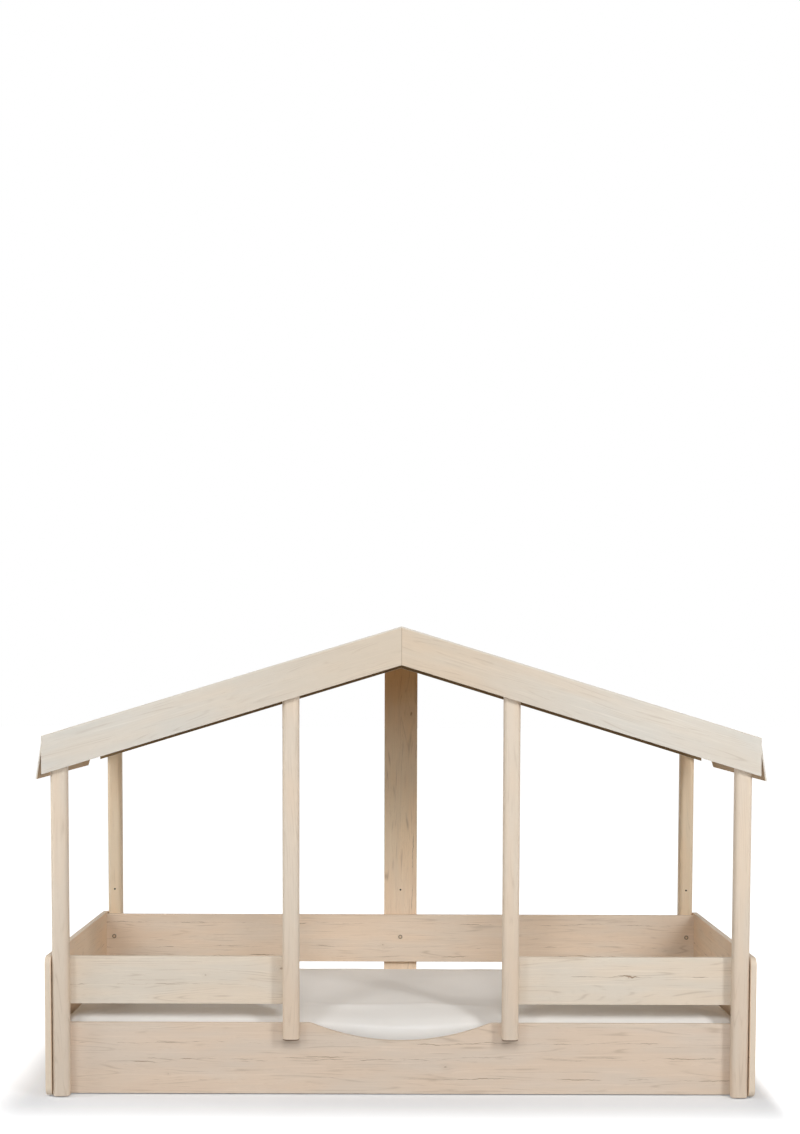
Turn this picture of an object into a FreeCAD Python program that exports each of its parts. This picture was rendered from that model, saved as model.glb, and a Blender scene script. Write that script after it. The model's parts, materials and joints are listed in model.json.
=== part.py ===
import FreeCAD, Part
import math
import os

# A low house-shaped bed for a child. Two end panels, rails and round-edged posts carry a
# pitched roof of thin sheets over mitred fascia boards, and a slatted base carries the mattress.
# Sizes are in millimetres. +X runs along the bed, -Y is the open front, +Z is up, and the
# floor is at Z = 0 under the middle of the bed. SIDES mirrors a piece to the left and right.

Vector = FreeCAD.Vector
SIDES = {"left": -1, "right": 1}
X_AXIS = Vector(1, 0, 0)
Y_AXIS = Vector(0, 1, 0)

# ---------------------------------------------------------------- driving sizes
# Mattress, and the room that the frame leaves round it
mattress_length = 2000.0
mattress_width = 900.0
mattress_border_height = 125.0
mattress_crown = 10.0
mattress_corner_radius = 55.0
mattress_edge_round = 22.0
mattress_draw_in = 4.0
mattress_end_gap = 5.0
mattress_side_gap = 5.0
soft_gap = 0.3

# Coated boards
board_thickness = 18.0
board_edge_radius = 1.5
panel_height = 407.0
panel_corner_radius = 25.0
panel_edge_radius = 3.0
glide_height = 3.0
glide_radius = 8.0
glide_inset = 98.0

# Posts
post_width = 48.0
post_depth = 45.0
post_corner_radius = 14.0
post_end_bevel = 2.0
post_panel_gap = 2.0
inner_post_x = 316.0
inner_post_bottom = 167.0

# Rails and guards
lower_rail_top = 210.0
cutout_half_width = 262.0
cutout_depth = 52.0
cutout_corner_radius = 45.0
rail_below_panel_top = 6.0
guard_height = 138.0
guard_behind_post = 6.0
back_rail_height = 162.0
back_rail_gap = 32.0
centre_board_width = 112.0
centre_board_bottom = 40.0

# Roof
apex_height = 1356.0
roof_angle = 17.0
roof_sheet_thickness = 4.0
fascia_width = 101.0
batten_depth = 20.0
batten_height = 25.0
rafter_width = 20.0
rafter_height = 40.0
ridge_beam_width = 44.0
ridge_beam_height = 60.0
eaves_board_thickness = 4.0
eaves_flare = 9.0
eaves_overhang = 20.0
eaves_drop = 14.0
eaves_back_gap = 170.0
eaves_back_corner = 30.0
eaves_batten_height = 45.0

# Slatted base
slat_top = 100.0
slat_thickness = 18.0
slat_width = 100.0
slat_count = 11
slat_from_mattress_end = 60.0
slat_end_gap = 3.0
ledger_depth = 22.0
ledger_height = 35.0
ledger_end_gap = 20.0
strap_width = 25.0
strap_thickness = 1.5
strap_y = 280.0
beam_width = 30.0
beam_height = 60.0
foot_radius = 22.0
foot_base_height = 8.0
foot_stem_radius = 10.0
foot_from_panel = 505.0
foot_count = 3

# Metal fittings
steel_thickness = 2.5
bracket_length = 35.0
bracket_height = 40.0
bracket_flange = 18.0
ridge_plate_width = 90.0
ridge_plate_height = 34.0
ridge_plate_gap = 3.0
plate_screw_edge = 9.0
plate_screw_pitch = 18.0

# Fasteners
bolt_head_radius = 7.0
bolt_head_height = 2.2
bolt_radius = 3.0
bolt_grip_in_post = 12.0
back_bolt_below_top = 76.0
plug_radius = 4.0
plug_depth = 1.6
insert_radius = 5.0
insert_length = 13.0
insert_start = 0.5
insert_bottom_room = 1.5
panel_screw_head_radius = 5.0
panel_screw_head_height = 4.3
panel_screw_radius = 3.5
panel_screw_bite = 32.0
panel_screw_sink = 0.2
panel_screw_edge = 32.0
cap_radius = 6.5
cap_thickness = 1.0
dowel_radius = 4.0
dowel_in_panel = 10.0
dowel_in_rail = 20.0
dowel_end_room = 0.5
wood_screw_radius = 2.0
wood_screw_head_radius = 4.0
wood_screw_head_height = 2.4
wood_screw_bite = 12.0
flat_head_depth = 2.2
flat_head_sink = 0.2
fascia_screw_sink = 22.0
fascia_screw_spread = 25.0
fascia_screw_well_radius = 5.0
roof_screws_per_row = 6
roof_screw_margin = 60.0
roof_screw_bite = 20.0
eaves_screws_per_board = 4
eaves_screw_margin = 90.0
ledger_screws_per_side = 6
ledger_screw_margin = 90.0
hole_gap = 0.1

# Pilot holes that are open on the inner faces of the back posts and the centre board
pilot_radius = 2.5
pilot_depth = 12.0
pilot_above_rail = 84.0

# ---------------------------------------------------------------- worked-out places
inner_x = mattress_length / 2 + mattress_end_gap
outer_x = inner_x + board_thickness
inner_y = mattress_width / 2 + mattress_side_gap
rail_y = inner_y + board_thickness
post_y = rail_y + post_depth
fascia_y = post_y + board_thickness

outer_post_x = inner_x - post_panel_gap - post_width / 2
upper_rail_top = glide_height + panel_height - rail_below_panel_top
guard_bottom = upper_rail_top - guard_height
back_rail_bottom = upper_rail_top - back_rail_height
back_lower_top = back_rail_bottom - back_rail_gap
back_bolt_height = upper_rail_top - back_bolt_below_top
guard_inner_x = inner_post_x - post_width / 2 + guard_behind_post
slat_bottom = slat_top - slat_thickness
beam_bottom = slat_bottom - beam_height
beam_end_x = inner_x - steel_thickness
slat_reach = mattress_length / 2 - slat_from_mattress_end
eaves_reach = outer_x + eaves_overhang
eaves_back_end = post_y - eaves_back_gap
mattress_bottom = slat_top + strap_thickness + soft_gap

roof_slope = math.tan(math.radians(roof_angle))
roof_stretch = 1 / math.cos(math.radians(roof_angle))
flare_slope = math.tan(math.radians(eaves_flare))
flare_stretch = 1 / math.cos(math.radians(eaves_flare))
sheet_rise = roof_sheet_thickness * roof_stretch
fascia_rise = fascia_width * roof_stretch


def roof_top(x):
    """Height of the roof's upper face at a distance x from the middle."""
    return apex_height - abs(x) * roof_slope


def roof_under(x):
    """Height of the roof sheet's lower face, which is also the top of the fascia."""
    return roof_top(x) - sheet_rise


def fascia_bottom(x):
    return roof_under(x) - fascia_rise


eaves_bottom = fascia_bottom(outer_x) - eaves_drop


def eaves_face_x(z, depth=0.0):
    """Distance from the middle of the eaves board's outer face, or of a face inside it."""
    return eaves_reach - (z - eaves_bottom) * flare_slope - depth * flare_stretch


def eaves_meets_roof(depth=0.0):
    """Point (x, z) where the flared face, moved in by depth, meets the roof sheet."""
    reach = eaves_face_x(eaves_bottom, depth)
    z = roof_under(reach) - roof_slope * flare_slope * eaves_bottom
    z = z / (1 - roof_slope * flare_slope)
    return eaves_face_x(z, depth), z


# ---------------------------------------------------------------- shape helpers
pieces = {}
holes = {}


def drill(cutter, *nodes):
    """Keep a hole to be cut from the named pieces once they are all made."""
    for node in nodes:
        holes.setdefault(node, []).append(cutter)


def add_group(node, solids):
    pieces[node] = Part.makeCompound(solids)


def box(x_range, y_range, z_range):
    x0, x1 = sorted(x_range)
    y0, y1 = sorted(y_range)
    z0, z1 = sorted(z_range)
    return Part.makeBox(x1 - x0, y1 - y0, z1 - z0, Vector(x0, y0, z0))


def edges_along(shape, axis):
    """Straight edges that run along one axis, given as 0, 1 or 2."""
    found = []
    for edge in shape.Edges:
        span = edge.BoundBox
        lengths = [span.XLength, span.YLength, span.ZLength]
        if lengths[axis] > 0.99 * edge.Length:
            found.append(edge)
    return found


def board(x_range, y_range, z_range, axis):
    """A box whose long edges, along the given axis, are slightly rounded."""
    plain = box(x_range, y_range, z_range)
    return plain.makeFillet(board_edge_radius, edges_along(plain, axis))


def upright_face(points, y):
    """Flat face at depth y, outlined by straight lines through (x, z) points."""
    corners = [Vector(x, y, z) for x, z in points]
    return Part.Face(Part.makePolygon(corners + corners[:1]))


def prism(points, y_range):
    y0, y1 = sorted(y_range)
    return upright_face(points, y0).extrude(Vector(0, y1 - y0, 0))


def rod(radius, point, direction, start, end):
    """Cylinder along a direction, between two distances from a point."""
    return Part.makeCylinder(radius, end - start, point + direction * start, direction)


def arc(start, middle, end):
    return Part.Arc(start, middle, end).toShape()


def line(start, end):
    return Part.LineSegment(start, end).toShape()


def corner_middle(center, radius, sign_a, sign_b):
    """Point halfway round a quarter circle, on the side that the two signs give."""
    reach = radius / math.sqrt(2)
    return center[0] + sign_a * reach, center[1] + sign_b * reach


def rounded_outline(half_a, half_b, radius, draw_in, place):
    """Closed outline of a rectangle with round corners, whose sides may pull in.

    place turns a flat point (a, b) into a vector.
    """
    in_a = half_a - radius
    in_b = half_b - radius
    edges = []
    for sign_a, sign_b, ends_on_b in ((1, -1, False), (1, 1, True), (-1, 1, False), (-1, -1, True)):
        center = (sign_a * in_a, sign_b * in_b)
        on_a = (sign_a * half_a, sign_b * in_b)
        on_b = (sign_a * in_a, sign_b * half_b)
        start, end = (on_a, on_b) if ends_on_b else (on_b, on_a)
        middle = corner_middle(center, radius, sign_a, sign_b)
        edges.append(arc(place(*start), place(*middle), place(*end)))
        if ends_on_b:
            next_point = (-on_b[0], on_b[1])
            waist = (0.0, sign_b * (half_b - draw_in))
        else:
            next_point = (on_a[0], -on_a[1])
            waist = (sign_a * (half_a - draw_in), 0.0)
        if draw_in > 0:
            edges.append(arc(place(*end), place(*waist), place(*next_point)))
        else:
            edges.append(line(place(*end), place(*next_point)))
    return Part.Wire(edges)


def under_roof(shape):
    """The part of a shape that lies below the roof sheets."""
    wide = outer_x + eaves_reach
    house = [(-wide, -wide), (wide, -wide), (wide, roof_under(wide)),
             (0, roof_under(0)), (-wide, roof_under(wide))]
    return shape.common(prism(house, (-fascia_y, fascia_y)))


def spread(low, high, count):
    """Evenly spaced values from low to high."""
    return [low + (high - low) * i / (count - 1) for i in range(count)]


# ---------------------------------------------------------------- end panels and posts
def make_end_panel(side):
    middle_z = glide_height + panel_height / 2

    def place(y, z):
        return Vector(side * inner_x, y, middle_z + z)

    outline = rounded_outline(post_y, panel_height / 2, panel_corner_radius, 0, place)
    panel = Part.Face(outline).extrude(Vector(side * board_thickness, 0, 0))
    rims = [edge for edge in panel.Edges if edge.BoundBox.XLength < panel_edge_radius / 2]
    return panel.makeFillet(panel_edge_radius, rims)


def make_post(x, y_middle, bottom):
    """Upright of rounded section whose top is cut to the slope of the roof."""

    def place(a, b):
        return Vector(x + a, y_middle + b, bottom)

    outline = rounded_outline(post_width / 2, post_depth / 2, post_corner_radius, 0, place)
    post = Part.Face(outline).extrude(Vector(0, 0, apex_height - bottom))
    lowest = [edge for edge in post.Edges if edge.BoundBox.ZMax < bottom + post_end_bevel / 2]
    return under_roof(post.makeChamfer(post_end_bevel, lowest))


front_post_y = -(rail_y + post_depth / 2)
back_post_y = rail_y + post_depth / 2

for name, side in SIDES.items():
    pieces["end_panel_" + name] = make_end_panel(side)
    pieces["post_front_outer_" + name] = make_post(side * outer_post_x, front_post_y, glide_height)
    pieces["post_front_inner_" + name] = make_post(side * inner_post_x, front_post_y,
                                                   inner_post_bottom)
    pieces["post_back_" + name] = make_post(side * outer_post_x, back_post_y, glide_height)

half_board = centre_board_width / 2
centre_board = board((-half_board, half_board), (rail_y, rail_y + board_thickness),
                     (centre_board_bottom, apex_height), 2)
pieces["back_centre_board"] = under_roof(centre_board)


# ---------------------------------------------------------------- rails and guards
def make_front_lower_rail():
    """Long rail whose top edge dips in a shallow arc between the inner posts."""
    arc_radius = (cutout_half_width ** 2 + cutout_depth ** 2) / (2 * cutout_depth)
    arc_z = lower_rail_top - cutout_depth + arc_radius
    reach = arc_radius + cutout_corner_radius
    corner_z = lower_rail_top - cutout_corner_radius
    corner_x = math.sqrt(reach ** 2 - (arc_z - corner_z) ** 2)
    share = arc_radius / reach
    touch_x = corner_x * share
    touch_z = arc_z + (corner_z - arc_z) * share
    turn = math.atan2(corner_x, arc_z - corner_z) / 2
    corner_mid_x = corner_x - cutout_corner_radius * math.sin(turn)
    corner_mid_z = corner_z + cutout_corner_radius * math.cos(turn)

    def at(x, z):
        return Vector(x, -rail_y, z)

    outline = [
        line(at(-inner_x, glide_height), at(inner_x, glide_height)),
        line(at(inner_x, glide_height), at(inner_x, lower_rail_top)),
        line(at(inner_x, lower_rail_top), at(corner_x, lower_rail_top)),
        arc(at(corner_x, lower_rail_top), at(corner_mid_x, corner_mid_z), at(touch_x, touch_z)),
        arc(at(touch_x, touch_z), at(0, lower_rail_top - cutout_depth), at(-touch_x, touch_z)),
        arc(at(-touch_x, touch_z), at(-corner_mid_x, corner_mid_z), at(-corner_x, lower_rail_top)),
        line(at(-corner_x, lower_rail_top), at(-inner_x, lower_rail_top)),
        line(at(-inner_x, lower_rail_top), at(-inner_x, glide_height)),
    ]
    rail = Part.Face(Part.Wire(outline)).extrude(Vector(0, board_thickness, 0))
    rims = [edge for edge in rail.Edges
            if edge.BoundBox.YLength < board_edge_radius and edge.BoundBox.XLength > board_edge_radius]
    return rail.makeFillet(board_edge_radius, rims)


whole_length = (-inner_x, inner_x)
front_rail_range = (-rail_y, -inner_y)
back_rail_range = (inner_y, rail_y)
pieces["front_lower_rail"] = make_front_lower_rail()
for name, side in SIDES.items():
    pieces["guard_board_" + name] = board((side * guard_inner_x, side * inner_x), front_rail_range,
                                          (guard_bottom, upper_rail_top), 0)
pieces["back_upper_rail"] = board(whole_length, back_rail_range,
                                  (back_rail_bottom, upper_rail_top), 0)
pieces["back_lower_rail"] = board(whole_length, back_rail_range,
                                  (glide_height, back_lower_top), 0)


# ---------------------------------------------------------------- roof
def roof_strip(side, x_from, x_to, rise, y_range):
    """Sloping bar just under the roof sheet, between two distances from the middle."""
    outline = [(side * x_from, roof_under(x_from)), (side * x_to, roof_under(x_to)),
               (side * x_to, roof_under(x_to) - rise), (side * x_from, roof_under(x_from) - rise)]
    return prism(outline, y_range)


def make_fascia(side, y_range):
    """Board with a mitre at the ridge and a plumb cut at the eaves."""
    fascia = roof_strip(side, 0, outer_x, fascia_rise, y_range)
    level = fascia_bottom(outer_x / 2)
    lower = [edge for edge in fascia.Edges
             if edge.BoundBox.XLength > outer_x / 2 and edge.CenterOfMass.z < level + fascia_rise / 2]
    return fascia.makeFillet(board_edge_radius, lower)


def make_roof_sheet(side):
    outline = [(0, roof_top(0)), (side * outer_x, roof_top(outer_x)),
               (side * outer_x, roof_under(outer_x)), (0, roof_under(0))]
    return prism(outline, (-fascia_y, fascia_y))


def make_eaves_board(side):
    """Thin flared board that hangs below the sheet, with its lower back corner cut off."""
    top_out = eaves_meets_roof()
    top_in = eaves_meets_roof(eaves_board_thickness)
    bottom_in = eaves_face_x(eaves_bottom, eaves_board_thickness)
    outline = [(side * top_out[0], top_out[1]), (side * top_in[0], top_in[1]),
               (side * bottom_in, eaves_bottom), (side * eaves_reach, eaves_bottom)]
    plate = prism(outline, (-post_y, eaves_back_end))
    wide = eaves_reach + eaves_board_thickness
    corner = [Vector(0, eaves_back_end - eaves_back_corner, eaves_bottom),
              Vector(0, eaves_back_end, eaves_bottom + eaves_back_corner),
              Vector(0, eaves_back_end, eaves_bottom)]
    wedge = Part.Face(Part.makePolygon(corner + corner[:1])).extrude(Vector(side * wide, 0, 0))
    return plate.cut(wedge)


def make_eaves_batten(side):
    """Bar along the eaves, from the front posts to the back fascia, behind the eaves board."""
    top = eaves_meets_roof(eaves_board_thickness)
    bottom = roof_under(outer_post_x) - eaves_batten_height
    outline = [(side * outer_post_x, roof_under(outer_post_x)), (side * top[0], top[1]),
               (side * eaves_face_x(bottom, eaves_board_thickness), bottom),
               (side * outer_post_x, bottom)]
    return prism(outline, (-rail_y, inner_y))


batten_rise = batten_height * roof_stretch
rafter_rise = rafter_height * roof_stretch
ridge_half = ridge_beam_width / 2
board_screw_x = (ridge_half + half_board) / 2
front_batten_range = (-post_y, -post_y + batten_depth)
back_batten_range = (inner_y - batten_depth, inner_y)
post_half = post_width / 2

for name, side in SIDES.items():
    pieces["fascia_front_" + name] = make_fascia(side, (-fascia_y, -post_y))
    pieces["fascia_back_" + name] = make_fascia(side, back_rail_range)
    pieces["roof_sheet_" + name] = make_roof_sheet(side)
    pieces["roof_rafter_" + name] = roof_strip(side, ridge_half, outer_post_x, rafter_rise,
                                               (-rafter_width / 2, rafter_width / 2))
    pieces["eaves_batten_" + name] = make_eaves_batten(side)
    pieces["eaves_board_" + name] = make_eaves_board(side)
    add_group("roof_battens_" + name, [
        roof_strip(side, ridge_half, inner_post_x - post_half, batten_rise, front_batten_range),
        roof_strip(side, inner_post_x + post_half, outer_post_x - post_half, batten_rise,
                   front_batten_range),
        roof_strip(side, ridge_half, outer_post_x, batten_rise, back_batten_range),
    ])

ridge_beam_bottom = roof_under(0) - ridge_beam_height
pieces["ridge_beam"] = under_roof(box((-ridge_half, ridge_half), (-post_y, inner_y),
                                      (ridge_beam_bottom, apex_height)))

plate_top = ridge_beam_bottom - ridge_plate_gap
plate_bottom = plate_top - ridge_plate_height
plate_half = ridge_plate_width / 2
pieces["ridge_plate"] = box((-plate_half, plate_half), (-post_y, -post_y + steel_thickness),
                            (plate_bottom, plate_top))


# ---------------------------------------------------------------- slatted base
slat_half_length = inner_y - slat_end_gap
slat_starts = spread(-slat_reach, slat_reach - slat_width, slat_count)
for number, start in enumerate(slat_starts, 1):
    pieces["slat_%02d" % number] = board((start, start + slat_width),
                                         (-slat_half_length, slat_half_length),
                                         (slat_bottom, slat_top), 1)

add_group("slat_straps", [
    box((-slat_reach, slat_reach),
        (y - strap_width / 2, y + strap_width / 2), (slat_top, slat_top + strap_thickness))
    for y in (-strap_y, strap_y)])

ledger_x = (-inner_x + ledger_end_gap, inner_x - ledger_end_gap)
ledger_z = (slat_bottom - ledger_height, slat_bottom)
ledger_face_y = inner_y - ledger_depth
pieces["front_ledger"] = box(ledger_x, (-inner_y, -ledger_face_y), ledger_z)
pieces["back_ledger"] = box(ledger_x, (ledger_face_y, inner_y), ledger_z)
pieces["centre_beam"] = box((-beam_end_x, beam_end_x), (-beam_width / 2, beam_width / 2),
                            (beam_bottom, slat_bottom))


def make_beam_bracket(side):
    """Steel shoe on the end panel that holds the end of the centre beam."""
    half = beam_width / 2
    low = beam_bottom - steel_thickness
    high = low + bracket_height
    flange = box((side * beam_end_x, side * inner_x),
                 (-half - bracket_flange, half + bracket_flange), (low, high))
    shoe = box((side * (beam_end_x - bracket_length), side * beam_end_x),
               (-half - steel_thickness, half + steel_thickness), (low, high))
    seat = box((side * (beam_end_x - bracket_length), side * beam_end_x),
               (-half, half), (beam_bottom, high))
    return flange.fuse(shoe.cut(seat)).removeSplitter()


def make_beam_foot(x):
    up = Vector(0, 0, 1)
    base = rod(foot_radius, Vector(x, 0, 0), up, 0, foot_base_height)
    stem = rod(foot_stem_radius, Vector(x, 0, 0), up, 0, beam_bottom)
    return base.fuse(stem)


add_group("beam_brackets", [make_beam_bracket(side) for side in SIDES.values()])
foot_reach = inner_x - foot_from_panel
add_group("beam_feet", [make_beam_foot(x) for x in spread(-foot_reach, foot_reach, foot_count)])

glide_x = inner_x + board_thickness / 2
glide_y = post_y - glide_inset
glide_points = [(side * glide_x, y) for side in SIDES.values() for y in (-glide_y, 0, glide_y)]
glide_points += [(side * outer_post_x, y) for side in SIDES.values()
                 for y in (front_post_y, back_post_y)]
add_group("floor_glides", [rod(glide_radius, Vector(x, y, 0), Vector(0, 0, 1), 0, glide_height)
                           for x, y in glide_points])


# ---------------------------------------------------------------- mattress
# Share of the half width in from the edge, and share of the crown that is reached there
crown_steps = ((0.2, 0.45), (0.45, 0.8), (0.8, 1.0))


def make_mattress():
    """Mattress in its sheet: rolled edges, sides drawn in a little and a crowned top."""
    rolled = mattress_edge_round
    steps = [0, 30, 60, 90]
    profile = []
    for angle in steps:
        turn = math.radians(angle)
        profile.append((rolled * (1 - math.sin(turn)), rolled * (1 - math.cos(turn))))
    for angle in reversed(steps):
        turn = math.radians(angle)
        profile.append((rolled * (1 - math.sin(turn)),
                        mattress_border_height - rolled * (1 - math.cos(turn))))
    half_width = mattress_width / 2
    for inset_share, crown_share in crown_steps:
        profile.append((half_width * inset_share,
                        mattress_border_height + mattress_crown * crown_share))
    wires = []
    for inset, height in profile:
        corner = max(mattress_corner_radius - inset, rolled)

        def place(x, y, z=mattress_bottom + height):
            return Vector(x, y, z)

        wires.append(rounded_outline(mattress_length / 2 - inset, half_width - inset,
                                     corner, mattress_draw_in, place))
    return Part.makeLoft(wires, True, True)


pieces["mattress"] = make_mattress()


# ---------------------------------------------------------------- fasteners
def wood_screw(point, direction, length):
    head = rod(wood_screw_head_radius, point, direction, -wood_screw_head_height, 0)
    return head.fuse(rod(wood_screw_radius, point, direction, 0, length))


def wood_screw_hole(point, direction, length):
    return rod(wood_screw_radius + hole_gap, point, direction, -hole_gap, length + hole_gap)


def flat_screw(point, direction, length):
    """Screw whose conical head lies just below the face at the point."""
    top = point + direction * flat_head_sink
    head = Part.makeCone(wood_screw_head_radius, wood_screw_radius, flat_head_depth, top, direction)
    return head.fuse(rod(wood_screw_radius, top, direction, flat_head_depth, length))


def flat_screw_hole(point, direction, length):
    top = point + direction * flat_head_sink
    cone = Part.makeCone(wood_screw_head_radius + hole_gap, wood_screw_radius + hole_gap,
                         flat_head_depth, top, direction)
    mouth = rod(wood_screw_head_radius + hole_gap, point, direction, -hole_gap, flat_head_sink)
    shank = rod(wood_screw_radius + hole_gap, top, direction, flat_head_depth, length + hole_gap)
    return mouth.fuse([cone, shank])


def connector_bolt(point, direction):
    head = rod(bolt_head_radius, point, direction, -bolt_head_height, 0)
    shank = rod(bolt_radius, point, direction, 0, board_thickness + bolt_grip_in_post)
    socket = rod(plug_radius + hole_gap, point, direction, -bolt_head_height,
                 plug_depth - bolt_head_height)
    return head.fuse(shank).cut(socket)


def threaded_insert(point, direction):
    start = board_thickness + insert_start
    end = start + insert_length
    sleeve = rod(insert_radius, point, direction, start, end)
    return sleeve.cut(rod(bolt_radius + hole_gap, point, direction, start, end))


def fit_bolts():
    """Bolts from the inner faces of the rails into threaded inserts in the posts."""
    guard_middle = (guard_bottom + upper_rail_top) / 2
    rail_middle = (glide_height + lower_rail_top) / 2
    back_lower_middle = (glide_height + back_lower_top) / 2
    inner_low = (inner_post_bottom + lower_rail_top) / 2
    places = []
    for name, side in SIDES.items():
        outer = "post_front_outer_" + name
        inner = "post_front_inner_" + name
        guard = "guard_board_" + name
        places += [
            (side * outer_post_x, -1, guard_middle, guard, outer),
            (side * outer_post_x, -1, rail_middle, "front_lower_rail", outer),
            (side * inner_post_x, -1, guard_middle, guard, inner),
            (side * inner_post_x, -1, inner_low, "front_lower_rail", inner),
            (side * outer_post_x, 1, back_bolt_height, "back_upper_rail", "post_back_" + name),
            (side * outer_post_x, 1, back_lower_middle, "back_lower_rail", "post_back_" + name),
        ]
    places.append((0, 1, back_bolt_height, "back_upper_rail", "back_centre_board"))
    places.append((0, 1, back_lower_middle, "back_lower_rail", "back_centre_board"))
    bolts, plugs, inserts = [], [], []
    for x, facing, z, rail, post in places:
        point = Vector(x, facing * inner_y, z)
        direction = Y_AXIS * facing
        bolts.append(connector_bolt(point, direction))
        plugs.append(rod(plug_radius, point, direction, -bolt_head_height,
                         plug_depth - bolt_head_height))
        inserts.append(threaded_insert(point, direction))
        drill(rod(bolt_radius + hole_gap, point, direction, -hole_gap,
                  board_thickness + hole_gap), rail)
        well = board_thickness + insert_start + insert_length + insert_bottom_room
        drill(rod(insert_radius + hole_gap, point, direction, board_thickness - hole_gap, well), post)
    add_group("post_bolts", bolts)
    add_group("bolt_plugs", plugs)
    add_group("post_inserts", inserts)


def panel_screw(point, direction):
    head_end = panel_screw_sink + panel_screw_head_height
    head = rod(panel_screw_head_radius, point, direction, panel_screw_sink, head_end)
    shank = rod(panel_screw_radius, point, direction, head_end,
                board_thickness + panel_screw_bite)
    return head.fuse(shank)


def fit_end_panels():
    """Screws, their caps and dowels between the end panels and the ends of the rails."""
    rail_spans = [
        ("front_lower_rail", -1, glide_height, lower_rail_top),
        ("guard_board_", -1, guard_bottom, upper_rail_top),
        ("back_upper_rail", 1, back_rail_bottom, upper_rail_top),
        ("back_lower_rail", 1, glide_height, back_lower_top),
    ]
    screws, caps, dowels = [], [], []
    for name, side in SIDES.items():
        panel = "end_panel_" + name
        direction = X_AXIS * -side
        for rail, facing, low, high in rail_spans:
            node = rail + name if rail.endswith("_") else rail
            y = facing * (inner_y + board_thickness / 2)
            for z in (low + panel_screw_edge, high - panel_screw_edge):
                point = Vector(side * outer_x, y, z)
                screws.append(panel_screw(point, direction))
                caps.append(rod(cap_radius, point, direction, -cap_thickness, 0))
                head_room = panel_screw_sink + panel_screw_head_height
                drill(rod(panel_screw_head_radius + hole_gap, point, direction, -hole_gap,
                          head_room), panel)
                drill(rod(panel_screw_radius + hole_gap, point, direction, 0,
                          board_thickness + panel_screw_bite + hole_gap), panel, node)
            seat = Vector(side * inner_x, y, (low + high) / 2)
            dowels.append(rod(dowel_radius, seat, direction, -dowel_in_panel, dowel_in_rail))
            drill(rod(dowel_radius + hole_gap, seat, direction, -dowel_in_panel - dowel_end_room,
                      dowel_in_rail + dowel_end_room), panel, node)
    add_group("panel_screws", screws)
    add_group("panel_screw_caps", caps)
    add_group("rail_dowels", dowels)


def fit_fascias():
    """Screws from inside the bed: through the front posts into the front fascias, and
    through the back fascias into the back posts and the centre board."""
    screws = []
    for name, side in SIDES.items():
        for x, post in ((outer_post_x, "post_front_outer_" + name),
                        (inner_post_x, "post_front_inner_" + name)):
            middle = fascia_bottom(x) + fascia_rise / 2
            for z in (middle - fascia_screw_spread, middle + fascia_screw_spread):
                mouth = Vector(side * x, -rail_y, z)
                direction = -Y_AXIS
                seat = mouth + direction * fascia_screw_sink
                length = post_depth - fascia_screw_sink + wood_screw_bite
                screws.append(wood_screw(seat, direction, length))
                drill(wood_screw_hole(seat, direction, length), post, "fascia_front_" + name)
                drill(rod(fascia_screw_well_radius, mouth, direction, -hole_gap,
                          fascia_screw_sink), post)
        length = board_thickness + wood_screw_bite
        for x, upright in ((outer_post_x, "post_back_" + name), (board_screw_x, "back_centre_board")):
            middle = fascia_bottom(x) + fascia_rise / 2
            for z in (middle - fascia_screw_spread, middle):
                seat = Vector(side * x, inner_y, z)
                screws.append(wood_screw(seat, Y_AXIS, length))
                drill(wood_screw_hole(seat, Y_AXIS, length), "fascia_back_" + name, upright)
    add_group("fascia_screws", screws)


def fit_roof():
    """Screws through the roof sheets into what carries them, and through the eaves boards."""
    angle = math.radians(roof_angle)
    flare = math.radians(eaves_flare)
    half_thick = board_thickness / 2
    screws = []
    for name, side in SIDES.items():
        direction = Vector(-side * math.sin(angle), 0, -math.cos(angle))
        for y, carrier in ((-post_y - half_thick, "fascia_front_"), (0, "roof_rafter_"),
                           (inner_y + half_thick, "fascia_back_")):
            for x in spread(roof_screw_margin, outer_post_x - roof_screw_margin,
                            roof_screws_per_row):
                point = Vector(side * x, y, roof_top(x))
                length = roof_sheet_thickness + roof_screw_bite
                screws.append(flat_screw(point, direction, length))
                drill(flat_screw_hole(point, direction, length), "roof_sheet_" + name,
                      carrier + name)
        inward = Vector(-side * math.cos(flare), 0, -math.sin(flare))
        z = roof_under(outer_post_x) - eaves_batten_height / 2
        for y in spread(-rail_y + eaves_screw_margin, eaves_back_end - eaves_screw_margin,
                        eaves_screws_per_board):
            point = Vector(side * eaves_face_x(z), y, z)
            length = eaves_board_thickness + roof_screw_bite
            screws.append(flat_screw(point, inward, length))
            drill(flat_screw_hole(point, inward, length), "eaves_board_" + name,
                  "eaves_batten_" + name)
    add_group("roof_screws", screws)


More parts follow.
